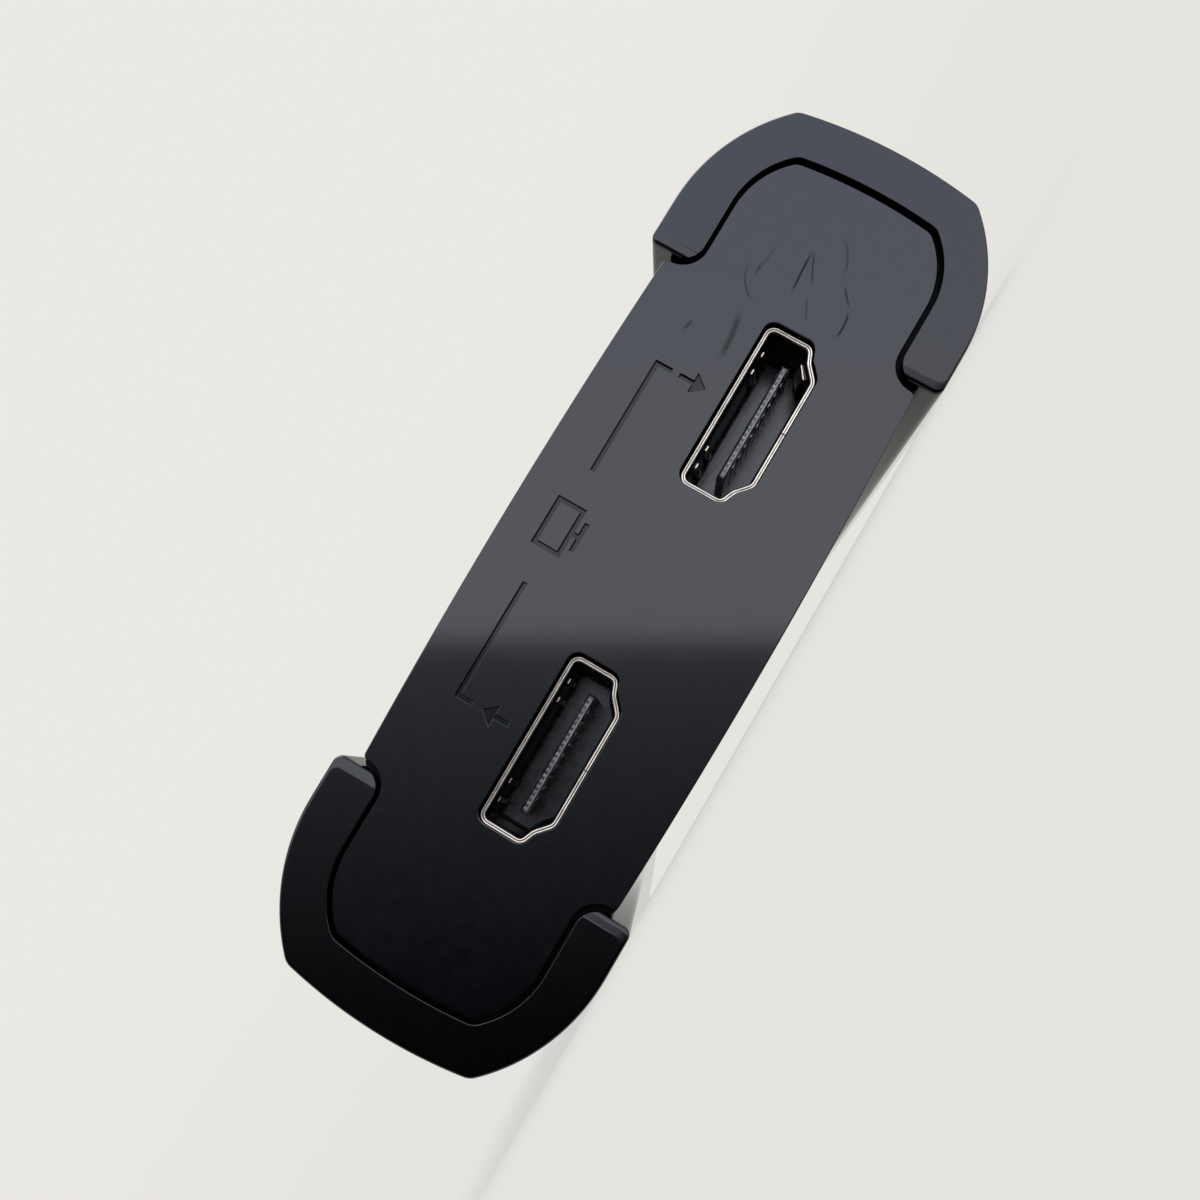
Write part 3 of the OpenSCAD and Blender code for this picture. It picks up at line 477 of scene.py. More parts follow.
# %% A solid made of rings
SHARP_ANGLE = math.radians(32)
WELD = 1e-7
CLOSE = 1e-5
INSIDE_OUTLINE = 1


def mark_sharp(mesh):
    """Keeps every edge crisp where its two faces turn by more than the sharp angle."""
    for edge in mesh.edges:
        edge.smooth = len(edge.link_faces) == 2 and edge.calc_face_angle() < SHARP_ANGLE


def encloses(loop, point):
    """Whether a loop goes round a point: a ray from the point crosses it an odd number of times."""
    inside = False
    for a, b in zip(loop, loop[1:] + loop[:1]):
        if (a.y > point.y) != (b.y > point.y):
            if point.x < a.x + (b.x - a.x) * (point.y - a.y) / (b.y - a.y):
                inside = not inside
    return inside


class Solid:
    """Collects rings of points in millimetres, and the faces between them."""

    def __init__(self):
        self.mesh = bmesh.new()

    def ring(self, points):
        """Adds the points of a ring."""
        return [self.mesh.verts.new((x * MM, y * MM, z * MM)) for x, y, z in points]

    def band(self, first, second):
        """Joins two rings that have the same number of points."""
        count = len(first)
        for i in range(count):
            j = (i + 1) % count
            face = self.mesh.faces.new((first[i], first[j], second[j], second[i]))
            face.smooth = True

    def stack(self, rings):
        """Joins the rings in their order and returns the first and the last of them."""
        made = [self.ring(points) for points in rings]
        for first, second in zip(made, made[1:]):
            self.band(first, second)
        return made[0], made[-1]

    def tube(self, rings):
        """Joins the rings in their order and closes both ends."""
        for end in self.stack(rings):
            self.cap(end)
        return self

    def hoop(self, rings):
        """Joins the rings in their order, and the last of them to the first."""
        made = [self.ring(points) for points in rings]
        for first, second in zip(made, made[1:] + made[:1]):
            self.band(first, second)
        return self

    def cap(self, outer, *holes):
        """Closes a ring with flat faces, which leave its holes open."""
        if not holes:
            self.mesh.faces.new(outer)
            return
        corners, edges, loops = [], [], []
        for ring in (outer, *holes):
            start, count = len(corners), len(ring)
            corners += ring
            edges += [(start + i, start + (i + 1) % count) for i in range(count)]
            loops.append([Vector((corner.co.x, corner.co.z)) / MM for corner in ring])
        flat = [point for loop in loops for point in loop]
        _, _, faces, origin, _, _ = delaunay_2d_cdt(flat, edges, [], INSIDE_OUTLINE, CLOSE)
        for face in faces:
            trio = [origin[i][0] for i in face]
            middle = sum((flat[i] for i in trio), Vector((0, 0))) / 3
            if not any(encloses(hole, middle) for hole in loops[1:]):
                self.mesh.faces.new([corners[i] for i in trio])

    def shape(self, name, finish):
        """Turns the collected faces into an object of the scene."""
        data = bpy.data.meshes.new(name)
        self.mesh.to_mesh(data)
        self.mesh.free()
        data.materials.append(finish.material)
        piece = bpy.data.objects.new(name, data)
        bpy.context.scene.collection.objects.link(piece)
        return piece

    def make(self, name, finish, replaced=(), body="case", slot=None):
        """Makes a piece that rides on a body of the part, and stands for the nodes it replaces."""
        bmesh.ops.remove_doubles(self.mesh, verts=self.mesh.verts, dist=WELD)
        bmesh.ops.dissolve_degenerate(self.mesh, edges=self.mesh.edges, dist=WELD)
        bmesh.ops.recalc_face_normals(self.mesh, faces=self.mesh.faces)
        mark_sharp(self.mesh)
        piece = self.shape(name, finish)
        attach(piece, body)
        if replaced:
            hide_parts(*replaced)
        print(name, len(piece.data.vertices), "points")
        return piece


print("solids are built from rings")

# %% [markdown]
# The outlines are drawn with arcs and straight runs, as a drawing office would.
# Insetting an outline by a small step, again and again, rounds the edge of a plate.

# %% Arcs, crossings and insets
STRAIGHT = 0.9995


def arc(centre, radius, start, end, steps):
    """Points on an arc between two angles in degrees, both ends included."""
    angles = [math.radians(start + (end - start) * i / steps) for i in range(steps + 1)]
    return [(centre[0] + radius * math.cos(a), centre[1] + radius * math.sin(a)) for a in angles]


def circle(centre, radius, steps=96):
    """Points on a whole circle."""
    return arc(centre, radius, 0, 360, steps)[:-1]


def crossing(first, first_r, second, second_r):
    """The upper point where two circles cross."""
    a, b = Vector(first), Vector(second)
    gap = (b - a).length
    along = (first_r**2 - second_r**2 + gap**2) / (2 * gap)
    across = math.sqrt(first_r**2 - along**2)
    way = (b - a) / gap
    side = Vector((-way.y, way.x))
    found = [a + way * along + side * across * sign for sign in (-1, 1)]
    return max(found, key=lambda point: point.y)


def bearing(centre, point):
    """Angle of a point as seen from a centre, in degrees."""
    return math.degrees(math.atan2(point[1] - centre[1], point[0] - centre[0]))


def inset(loop, step):
    """Moves every edge of a loop that runs anticlockwise inward by a step."""
    count = len(loop)
    points = [Vector(point) for point in loop]
    normals = []
    for i in range(count):
        run = (points[(i + 1) % count] - points[i]).normalized()
        normals.append(Vector((-run.y, run.x)))
    moved = []
    for i in range(count):
        both = normals[i - 1] + normals[i]
        bend = normals[i - 1].dot(normals[i])
        shift = both * step / (2 if bend > STRAIGHT else 1 + bend)
        moved.append(tuple(points[i] + shift))
    return moved


def shifted(loop, x, z=0.0):
    """The loop at another place."""
    return [(px + x, pz + z) for px, pz in loop]


def at_depth(loop, y):
    """Places an outline, drawn about the middle height, at a depth."""
    return [(x, y, half_h + z) for x, z in loop]


def edge_round(radius, steps=5):
    """Pairs of inset and depth round the rim of a plate, from its face to its side."""
    turns = [math.pi / 2 * i / steps for i in range(steps + 1)]
    return [(radius * (1 - math.sin(t)), radius * (1 - math.cos(t))) for t in turns]


print("outline tools ready")

# %% [markdown]
# Panels and covers share one outline: a gently crowned middle, and at each end a narrower tongue
# that the bumper wraps. A quarter of it is drawn, then mirrored. A flange widens only the tongue,
# and a lip carries the flange under the bumper's tip.

# %% Outline of the body
CROWN_STEPS = 12
CORNER_STEPS = 4
FILLET_STEPS = 10
RUN_STEPS = 3
rail_tip_x = 24.35
notch_x = 23.75
notch_r = 2.3
notch_corner_r = 0.4
crown_r = 570
seam = 0.36
tongue_half = 8.95
tongue_rise = 1.35
tongue_run = 6.25
tongue_start = tongue_end - tongue_run
tongue_r = tongue_half - tongue_rise
tongue_end_r = 45
tongue_corner_r = 1.2
tongue_shape = (tongue_start, tongue_rise, tongue_r, tongue_end, tongue_end_r, tongue_corner_r)
flange_w = 1.2
lip_gap = 0.05
flange_lip = rail_tip_x - notch_x - lip_gap


def rounded_end(start_x, rise, radius, end_x, end_r, corner_r, grow=0.0, steps=12):
    """Points from the top of a shoulder to the middle of a bowed end, round the soft corner between."""
    shoulder = (start_x, rise)
    bow = (end_x - end_r, 0)
    soft = crossing(shoulder, radius - corner_r, bow, end_r - corner_r)
    first, second = bearing(shoulder, soft), bearing(bow, soft)
    points = arc(shoulder, radius + grow, 90, first, 2 * steps)
    points += arc(soft, corner_r + grow, first, second, steps)[1:]
    points += arc(bow, end_r + grow, second, 0, steps)[1:]
    return points


def crown_height(x):
    """Height of the crowned middle at a distance from the centre line."""
    return crown_half - crown_r + math.sqrt(crown_r**2 - x**2)


def body_quarter(flange=0.0, lip=0.0):
    """Points from the middle of the top to the middle of the right end."""
    top_x = notch_x - notch_corner_r
    crown = [top_x * i / CROWN_STEPS for i in range(CROWN_STEPS)]
    points = [(x, crown_height(x)) for x in crown]
    corner = arc((top_x, crown_height(top_x) - notch_corner_r), notch_corner_r, 90, 0, CORNER_STEPS)
    stretch = 1 + lip / notch_corner_r
    points += [(top_x + (x - top_x) * stretch, z) for x, z in corner]
    fillet_r = notch_r - flange
    points += arc((notch_x + lip + fillet_r, tongue_half + notch_r), fillet_r, 180, 270, FILLET_STEPS)
    run_x = points[-1][0]
    run = [run_x + (tongue_start - run_x) * i / RUN_STEPS for i in range(1, RUN_STEPS)]
    points += [(x, tongue_half + flange) for x in run]
    return points + rounded_end(*tongue_shape, flange)


def mirrored_loop(quarter):
    """Whole anticlockwise outline from its upper right quarter."""
    low_right = [(x, -z) for x, z in quarter]
    up_right = quarter[-2::-1]
    up_left = [(-x, z) for x, z in quarter[1:]]
    low_left = [(-x, -z) for x, z in quarter[-2:0:-1]]
    return low_right + up_right + up_left + low_left


body_loop = mirrored_loop(body_quarter())
flange_loop = mirrored_loop(body_quarter(flange_w, flange_lip))
print("body outline", len(body_loop), "points")

# %% [markdown]
# A port is wide on one side and narrow on the other, and its shoulders sag inward a little, where the sheet
# was bent. Rounding a list of corners, each with its own radius, draws the port's opening.
# The hole in the panel is the same outline, grown by the sheet, its flare and a gap.

# %% Outline of a port
SAG_AT = 0.4
cut_gap = 0.14


def rounded_loop(corners, steps=6):
    """Closed loop through corners (x, z, radius), with an arc at each corner."""
    points = []
    for i, (x, z, radius) in enumerate(corners):
        here = Vector((x, z))
        before = (Vector(corners[i - 1][:2]) - here).normalized()
        after = (Vector(corners[(i + 1) % len(corners)][:2]) - here).normalized()
        half = before.angle(after) / 2
        centre = here + (before + after).normalized() * radius / math.sin(half)
        start = here + before * radius / math.tan(half)
        end = here + after * radius / math.tan(half)
        first, second = bearing(centre, start), bearing(centre, end)
        sweep = (second - first + 180) % 360 - 180
        points += arc(centre, radius, first, first + sweep, steps)
    return points


class Port:
    """The sheet of a port and its opening: anticlockwise about its own middle, the narrow side below."""

    def __init__(self, width, height, narrow, shoulder, sag, radii, sheet, flare, length):
        self.sheet = sheet
        self.flare = flare
        self.length = length
        self.floor = board_top + sheet
        self.top = self.floor + height
        self.middle = self.floor + height / 2
        wide_r, narrow_r, sag_r = radii
        wide_end = Vector((width / 2, self.floor + shoulder))
        narrow_end = Vector((narrow / 2, self.floor))
        chord = narrow_end - wide_end
        inward = Vector((chord.y, -chord.x)).normalized()
        hollow = wide_end + chord * SAG_AT + inward * sag
        right = [
            (*narrow_end, narrow_r), (*hollow, sag_r), (*wide_end, wide_r), (width / 2, self.top, wide_r),
        ]
        left = [(-x, z, r) for x, z, r in reversed(right)]
        self.loop = rounded_loop(right + left)
        self.cut = inset(self.loop, -(sheet + flare + cut_gap))


video_port = Port(
    width=14.0, height=4.55, narrow=9.6, shoulder=1.45, sag=0.22, radii=(0.28, 0.55, 1.6),
    sheet=0.34, flare=0.25, length=10.6,
)
socket_x = middle_mm("video_in_shell").x
mouth_y = box_mm("video_in_shell")[0].y
print("socket at", round(socket_x, 2), "with", len(video_port.loop), "points")

# %% [markdown]
# The port panel carries engraved marks: a bracket that reaches from the middle to each socket, an arrow for
# the way the picture travels, and a plain screen in the middle.
# Each mark is a closed outline that is sunk into the face.

# %% Engraved marks
CORNERS = ((-1, -1), (1, -1), (1, 1), (-1, 1))
mark_line = 0.36
mark_z = 7.7
mark_start = 5.5
mark_leg = 1.2
arrow_z = 4.3
arrow_w = 1.8
arrow_h = 2.2
screen_w = 4.4
screen_h = 2.6
screen_foot = 0.6


def bracket_mark():
    """Right-hand bracket: a long line that ends in a short leg over the socket."""
    h = mark_line / 2
    end = socket_x + h
    return [
        (mark_start - h, mark_z - h), (socket_x - h, mark_z - h), (socket_x - h, mark_z - mark_leg - h),
        (end, mark_z - mark_leg - h), (end, mark_z + h), (mark_start - h, mark_z + h),
    ]


def arrow_mark():
    """Arrow that points up, about its own middle."""
    h = mark_line / 2
    low = -arrow_h / 2 - h
    return [(-h, low), (h, low), (h, 0), (arrow_w / 2, 0), (0, arrow_h / 2), (-arrow_w / 2, 0), (-h, 0)]


def screen_mark():
    """Outer outline of the screen mark with its foot, about its own middle."""
    h = mark_line / 2
    half, low = screen_w / 2, -screen_h / 2
    foot, foot_half = low - screen_foot, screen_w / 4 + h
    right = [
        (foot_half, foot - h), (foot_half, foot + h), (h, foot + h), (h, low), (half, low), (half, -low),
    ]
    return [(-foot_half, foot - h)] + right + [(-x, z) for x, z in reversed(right[1:])]


def flipped_x(loop):
    """The loop mirrored left to right, still anticlockwise."""
    return [(-x, z) for x, z in reversed(loop)]


def flipped_z(loop):
    """The loop mirrored upside down, still anticlockwise."""
    return [(x, -z) for x, z in reversed(loop)]


inner_w = screen_w / 2 - mark_line
inner_h = screen_h / 2 - mark_line
screen_inner = [(sx * inner_w, mark_z + sz * inner_h) for sx, sz in CORNERS]
screen_outer = shifted(screen_mark(), 0, mark_z)
open_marks = [
    bracket_mark(),
    flipped_x(bracket_mark()),
    shifted(flipped_z(arrow_mark()), socket_x, arrow_z),
    shifted(arrow_mark(), -socket_x, arrow_z),
]
print(len(open_marks) + 1, "marks")

# %% [markdown]
# A panel is a plate with softly rounded rims, a flange behind its tongues, and holes for the ports.
# One function builds both panels: `way` is 1 for the front and -1 for the rear, which mirrors the depth.
# A narrow flat strip inside each rim, the support, keeps the shading of the face from bending at its edge.

# %% Panels
HOLE_STEPS = 3
rim_r = 0.08
hole_rim_r = 0.04
support = 0.04
flange_depth = 1.3


def panel_solid(way, holes):
    """Plate, flange and holes of a panel. Returns the solid, its face ring and the rims of its holes."""

    def ring(loop, depth):
        return at_depth(loop, way * (face_y + depth))

    solid = Solid()
    plate_t = cover_y - face_y
    rings = [ring(inset(body_loop, rim_r + support), 0)]
    rings += [ring(inset(body_loop, step), depth) for step, depth in edge_round(rim_r)]
    rings += [ring(body_loop, flange_depth), ring(flange_loop, flange_depth), ring(flange_loop, plate_t)]
    face, back = solid.stack(rings)
    rims, ends = [], []
    for hole in holes:
        hole_rings = [ring(inset(hole, -hole_rim_r - support), 0)]
        hole_rings += [ring(inset(hole, -step), depth) for step, depth in edge_round(hole_rim_r, HOLE_STEPS)]
        hole_rings.append(ring(hole, plate_t))
        rim, end = solid.stack(hole_rings)
        rims.append(rim)
        ends.append(end)
    solid.cap(back, *ends)
    return solid, face, rims


print("panel rims are rounded by", rim_r, "mm")

# %% [markdown]
# The front panel gets the marks and the streaks. Each streak has a start and an end, in millimetres across
# and above the floor, the bow between them, a width and a strength, all judged from the photograph.

# %% Front panel
mark_depth = 0.3
mark_soft = 0.05
hole_shift = (0.12, 0.07)
strokes = [
    ((27.4, 19.0), (23.8, 16.5), -0.75, 0.14, 0.55),
    ((29.5, 17.6), (25.5, 18.0), -0.07, 0.16, 0.35),
    ((27.2, 18.0), (26.4, 18.1), 0.02, 0.18, 0.60),
    ((30.5, 14.9), (25.9, 14.6), -0.06, 0.16, 0.95),
    ((30.5, 14.8), (27.4, 13.3), -0.11, 0.14, 0.70),
    ((32.7, 13.4), (29.3, 11.6), 0.39, 0.22, 0.40),
    ((29.0, 11.3), (27.3, 9.9), 0.05, 0.14, 0.75),
    ((27.3, 9.9), (24.5, 9.7), 0.23, 0.16, 0.95),
    ((23.2, 17.6), (18.2, 17.0), 0.21, 0.42, 0.60),
    ((20.4, 20.5), (19.1, 20.8), 0.01, 0.20, 0.60),
    ((26.8, 13.4), (24.6, 12.3), -0.08, 0.16, 0.40),
]


def sink_mark(solid, loop, outward=1):
    """Walls of an engraved mark. Returns its rim on the face and its floor."""
    steps = [(-mark_soft, 0), (-mark_soft / 3, mark_soft / 3), (0, mark_soft), (0, mark_depth)]
    return solid.stack([at_depth(inset(loop, outward * step), face_y + depth) for step, depth in steps])


scuffed = satin_finish("scuffed_satin_black", strokes)
holes = [shifted(video_port.cut, side * socket_x + hole_shift[0], hole_shift[1]) for side in (-1, 1)]
front, front_face, front_rims = panel_solid(1, holes)
for loop in open_marks:
    rim, mark_floor = sink_mark(front, loop)
    front_rims.append(rim)
    front.cap(mark_floor)
rim, mark_floor = sink_mark(front, screen_outer)
island, island_floor = sink_mark(front, screen_inner, outward=-1)
front.cap(mark_floor, island_floor)
front.cap(island)
front.cap(front_face, *front_rims, rim)
front.make("port_panel", scuffed, ["front_panel"], slot="satin_panel")

# %% [markdown]
# The rear panel is the same plate with two other holes: a small data port and a round sound jack.

# %% Rear panel
JACK_STEPS = 48
data_port = Port(
    width=6.9, height=3.1, narrow=5.4, shoulder=1.1, sag=0.08, radii=(0.4, 0.45, 1.6),
    sheet=0.3, flare=0.2, length=7.0,
)
data_x = middle_mm("data_port_shell").x
jack_at = (middle_mm("audio_jack_body").x, middle_mm("audio_jack_body").z - half_h)
jack_nose_r = 2.9
jack_gap = 0.1
jack_hole = circle(jack_at, jack_nose_r + jack_gap, JACK_STEPS)
rear, rear_face, rear_rims = panel_solid(-1, [shifted(data_port.cut, data_x), jack_hole])
rear.cap(rear_face, *rear_rims)
rear.make("rear_port_panel", satin, ["rear_panel"], slot="satin_panel")

# %% [markdown]
# A bumper is one C-shaped section drawn through the whole depth. Its outer rim is rounded, its inner rim
# only broken, and its tips are cut back at the front and rear. At each depth the section is the same loop,
# with its edges inset by what the rounding asks and its tips cut back by what the facet asks.

# %% Bumpers
TIP_STEPS = 6
HEEL_STEPS = 10
BUMPER_RIM_STEPS = 4
outer_r = 16
outer_run = 12.55
outer_start = half_w - outer_run
outer_end_r = 44
outer_corner_r = 1.6
outer_shape = (outer_start, half_h - outer_r, outer_r, half_w, outer_end_r, outer_corner_r)
outer_rim = 0.3
inner_rim = 0.06
case_lift = 0.1
tip_r = 1.7
tip_corner_r = 0.7
tip_facet = 0.62
tip_bow_r = 0.45
tip_tilt = math.radians(9)
tip_end = math.radians(75)
facet_depth = tip_facet * math.tan(tip_tilt)
hold = 0.006


def rim_step(radius, depth):
    """Inset of a rounded rim at a depth below the face."""
    left = max(radius - depth, 0.0)
    return radius - math.sqrt(radius**2 - left**2)


def tip_step(depth):
    """How far a tip is cut back at a depth below the face: a tilted facet, and a round behind it."""
    facet_left = tip_facet - min(depth, facet_depth) / math.tan(tip_tilt)
    fall = max(depth - facet_depth, 0.0) / tip_bow_r
    turn = math.acos(max(math.cos(tip_tilt) - fall, math.cos(tip_end)))
    return facet_left + tip_bow_r * (math.sin(tip_end) - math.sin(turn))


def bumper_depths(steps=8):
    """Depths at which a section is drawn, close together where a rim or a tip is round, to a micron."""
    turns = [tip_tilt + (tip_end - tip_tilt) * i / steps for i in range(steps + 1)]
    depths = {facet_depth + tip_bow_r * (math.cos(tip_tilt) - math.cos(turn)) for turn in turns}
    depths |= {0.0, hold, facet_depth - hold}
    for radius in (outer_rim, inner_rim):
        depths |= {depth for _, depth in edge_round(radius, BUMPER_RIM_STEPS)}
    return sorted({round(depth, 3) for depth in depths})


def bumper_section(depth, extra=0.0):
    """Anticlockwise section of the right bumper at a depth below its face."""
    outer_in = rim_step(outer_rim, depth) + extra
    inner_in = rim_step(inner_rim, depth) + extra
    tip = rail_tip_x + tip_step(depth) + extra
    outer = arc((tip + tip_corner_r, half_h - outer_in - tip_corner_r), tip_corner_r, 180, 90, TIP_STEPS)
    outer += rounded_end(*outer_shape, -outer_in)
    heel = (rail_tip_x + tip_r, tongue_half + seam + tip_r)
    heel_r = tip_r - inner_in
    cut_turn = 360 - math.degrees(math.acos(max((tip - heel[0]) / heel_r, -1.0)))
    inner = arc(heel, heel_r, cut_turn, 270, HEEL_STEPS)
    inner += rounded_end(*tongue_shape, seam + inner_in)
    low_outer = [(x, -z) for x, z in outer[:-1]]
    high_inner = [(x, z - case_lift) for x, z in inner]
    low_inner = [(x, -z - case_lift) for x, z in reversed(inner[:-1])]
    return low_outer + outer[::-1] + high_inner + low_inner


def make_bumper(name, side, node):
    """One bumper from end to end: side is 1 for the right one and -1 for the left one."""
    sections = [(0.0, bumper_section(0.0, support))]
    sections += [(depth, bumper_section(depth)) for depth in bumper_depths()]
    rings = [at_depth(loop, depth - half_d) for depth, loop in sections]
    rings += [at_depth(loop, half_d - depth) for depth, loop in reversed(sections)]
    solid = Solid().tube([[(side * x, y, z) for x, y, z in points] for points in rings])
    solid.make(name, grained, [node], slot="matte_bumper")


make_bumper("grained_bumper_right", 1, "right_bumper")
make_bumper("grained_bumper_left", -1, "left_bumper")

# %% [markdown]
# Each cover is half of the body outline with a wall of two millimetres, drawn from panel to panel.
# Many rings along the way keep the gloss even where the button's opening and the screw wells are cut out.
# The cuts are Boolean modifiers, which are then applied.

# %% Covers
CUT_PAST = 2
COVER_RIM_STEPS = 3
COVER_STEPS = 30
cover_wall = 2.0
cover_rim_r = 0.2
button_at = (0.0, middle_mm("record_button").y)
ring_out = 11.0
opening_gap = 0.05
screw_head_r = 2.3
screw_head_h = 1.6
well_gap = 0.1
screws_low, screws_high = box_mm("case_screws")
well_top = screws_low.z + screw_head_h
well_x = screws_high.x - screw_head_r
well_y = screws_high.y - screw_head_r


def upright(loop, z):
    """Places a flat outline at a height above the floor."""
    return [(x, y, z) for x, y in loop]


def cutter(centre, radius, low, high):
    """Plain temporary cylinder for a Boolean cut."""
    return Solid().tube([upright(circle(centre, radius), z) for z in (low, high)])


def cover_solid(sign):
    """Half of the body outline with its wall: sign is 1 for the top cover and -1 for the bottom one."""
    half = [i for i, (_, z) in enumerate(body_loop) if z >= 0]
    wall_loop = inset(body_loop, cover_wall)
    outer = [body_loop[i] for i in half]
    inner = [wall_loop[i] for i in reversed(half)]
    rim = [(step, cover_y + depth) for step, depth in edge_round(cover_rim_r, COVER_RIM_STEPS)]
    run_y = cover_y + cover_rim_r
    run = [(0.0, run_y - 2 * run_y * i / COVER_STEPS) for i in range(1, COVER_STEPS)]
    rings = []
    for step, y in rim + run + [(step, -y) for step, y in reversed(rim)]:
        crowned = [(x, z - step if abs(x) < notch_x else z) for x, z in outer]
        rings.append(at_depth([(x, sign * z) for x, z in crowned + inner], y))
    return Solid().tube(rings)


def cut(piece, cutters):
    """Cuts pieces out of a piece, applies the cuts and removes the cutters."""
    for tool in cutters:
        modifier = piece.modifiers.new("cut", "BOOLEAN")
        modifier.operation = "DIFFERENCE"
        modifier.solver = "EXACT"
        modifier.object = tool
        with bpy.context.temp_override(object=piece, active_object=piece):
            bpy.ops.object.modifier_apply(modifier=modifier.name)
        bpy.data.objects.remove(tool)
    mesh = bmesh.new()
    mesh.from_mesh(piece.data)
    mark_sharp(mesh)
    mesh.to_mesh(piece.data)
    mesh.free()


top = cover_solid(1).make("gloss_top_cover", polished, ["top_cover"], slot="gloss_case")
opening = cutter(button_at, ring_out + opening_gap, half_h + CUT_PAST, 2 * half_h + CUT_PAST)
cut(top, [opening.make("button_opening", polished)])
bottom = cover_solid(-1).make("gloss_bottom_cover", polished, ["bottom_cover"], slot="gloss_case")
well_spots = [(sx * well_x, sy * well_y) for sx in (-1, 1) for sy in (-1, 1)]
wells = [cutter(spot, screw_head_r + well_gap, -CUT_PAST, well_top) for spot in well_spots]
cut(bottom, [well.make("screw_well", polished) for well in wells])

# %% [markdown]
# The record button is a round key with a shallow dish. A milky ring round it guides the light of small
# emitters. Both are turned on a lathe: a profile of radius and height, spun about the button's axis.

# %% Record button and light ring
DISH_STEPS = 12
KEY_RIM_STEPS = 6
AXIS_R = 0.02
ROUND_MIDDLE = 0.3
key_r = 9.7
key_low, key_high = box_mm("record_button")
key_rim_r = 0.45
key_flange_r = (key_high.x - key_low.x) / 2
stem_reach = 0.5
stem_r = 2.2
key_flange_z = key_low.z + stem_reach
key_flange_t = 1.0
dish_border = 1.2
dish_r = key_r - dish_border
dish_depth = 0.5
dish_edge_w = 0.25
dish_edge_h = 0.03
ring_in = 10.0
ring_soft = 0.2
ring_plate_t = 0.8
skirt_t = 1.0


def key_profile():
    """Half section of the button, from the middle of its dish round to its stem."""
    shares = [i / DISH_STEPS for i in range(1, DISH_STEPS + 1)]
    dish = [(AXIS_R, key_high.z - dish_depth)]
    dish += [(dish_r * share, key_high.z - dish_depth * (1 - share**2)) for share in shares]
    dish.append((dish_r + dish_edge_w, key_high.z - dish_edge_h))
    rim = [(key_r - step, key_high.z - depth) for step, depth in edge_round(key_rim_r, KEY_RIM_STEPS)]
    flange_top = key_flange_z + key_flange_t
    low = [
        (key_r, flange_top), (key_flange_r, flange_top), (key_flange_r, key_flange_z),
        (stem_r, key_flange_z), (stem_r, key_low.z), (AXIS_R, key_low.z),
    ]
    return dish + rim + low


def ring_profile():
    """Section of the light ring: a rim with soft edges, a plate under the cover and a skirt below that."""
    low, high = box_mm("light_ring")
    skirt_out = (high.x - low.x) / 2
    skirt_in = skirt_out - skirt_t
    seat_sag = skirt_out**2 / (2 * (crown_r - cover_wall))
    plate_high = half_h + crown_half - cover_wall - seat_sag
    plate_low = plate_high - ring_plate_t
    soft = [(0, ring_soft), (ring_soft * ROUND_MIDDLE, ring_soft * ROUND_MIDDLE), (ring_soft, 0)]
    inner = [(ring_in + step, high.z - depth) for step, depth in soft]
    outer = [(ring_out - step, high.z - depth) for step, depth in reversed(soft)]
    skirt = [(skirt_out, plate_high), (skirt_out, low.z), (skirt_in, low.z), (skirt_in, plate_low)]
    return [(ring_in, plate_low)] + inner + outer + [(ring_out, plate_high)] + skirt


def lathe(profile):
    """Solid turned about the button's axis."""
    return Solid().hoop([upright(circle(button_at, radius), z) for radius, z in profile])


lathe(key_profile()).make("record_key", key_gloss, ["record_button"], body="button", slot="gloss_button")
lathe(ring_profile()).make("milky_ring", milky, ["light_ring"], slot="clear_ring")

# %% [markdown]
# A socket shell is a strip of sheet, bent round the port and flared at its mouth. Its two ends meet in a
# seam in the middle of the narrow side. The strip's own section, with its rolled lip, is carried round the
# port's outline from one side of the seam to the other.

# %% Socket shells
FLARE_DEPTHS = (4.0, 2.6, 1.4)
FLARE_INSIDE = (0.0, 0.1, 0.4)
FLARE_OUTSIDE = (0.0, 0.4, 1.0)
RIDGE_SHARE = 0.125
RIDGE_FROM = math.radians(10)
RIDGE_TO = math.radians(170)
RIDGE_STEPS = 8
GROOVE_SHARE = 0.7
GROOVE_DEPTH = 3
LEVEL = 0.02
VIDEO_SOCKETS = (("video_in", 1), ("video_out", -1))
shell_seam = 0.10


def lip_section(port):
    """Closed section of a port's sheet, (distance outward, depth) pairs, with two ridges at the lip."""
    sheet, flare = port.sheet, port.flare
    ridge = RIDGE_SHARE * (sheet + flare)
    outer_crest = sheet + flare - ridge
    inner_crest = outer_crest - (2 + GROOVE_SHARE) * ridge
    inside = [(share * flare, depth * sheet) for share, depth in zip(FLARE_INSIDE, FLARE_DEPTHS)]
    outside = [(sheet + share * flare, depth * sheet) for share, depth in zip(FLARE_OUTSIDE, FLARE_DEPTHS)]
    turns = [RIDGE_FROM + (RIDGE_TO - RIDGE_FROM) * i / RIDGE_STEPS for i in range(RIDGE_STEPS + 1)]
    roll = [(-ridge * math.cos(t), ridge * (1 - math.sin(t))) for t in turns]
    groove = [(inner_crest + ridge, GROOVE_DEPTH * ridge), (outer_crest - ridge, GROOVE_DEPTH * ridge)]
    lip = shifted(roll, inner_crest) + groove + shifted(roll, outer_crest)
    return [(0.0, port.length)] + inside + lip + outside[::-1] + [(sheet, port.length)]


def open_at_seam(loop):
    """The loop as an open path that starts and ends at the seam in the middle of its lowest side."""
    floor = min(z for _, z in loop)
    floor_left = [i for i, (x, z) in enumerate(loop) if x < 0 and z - floor < LEVEL]
    start = max(floor_left, key=lambda i: loop[i][0])
    path = loop[start + 1:] + loop[: start + 1]
    return [(shell_seam / 2, floor)] + path + [(-shell_seam / 2, floor)]


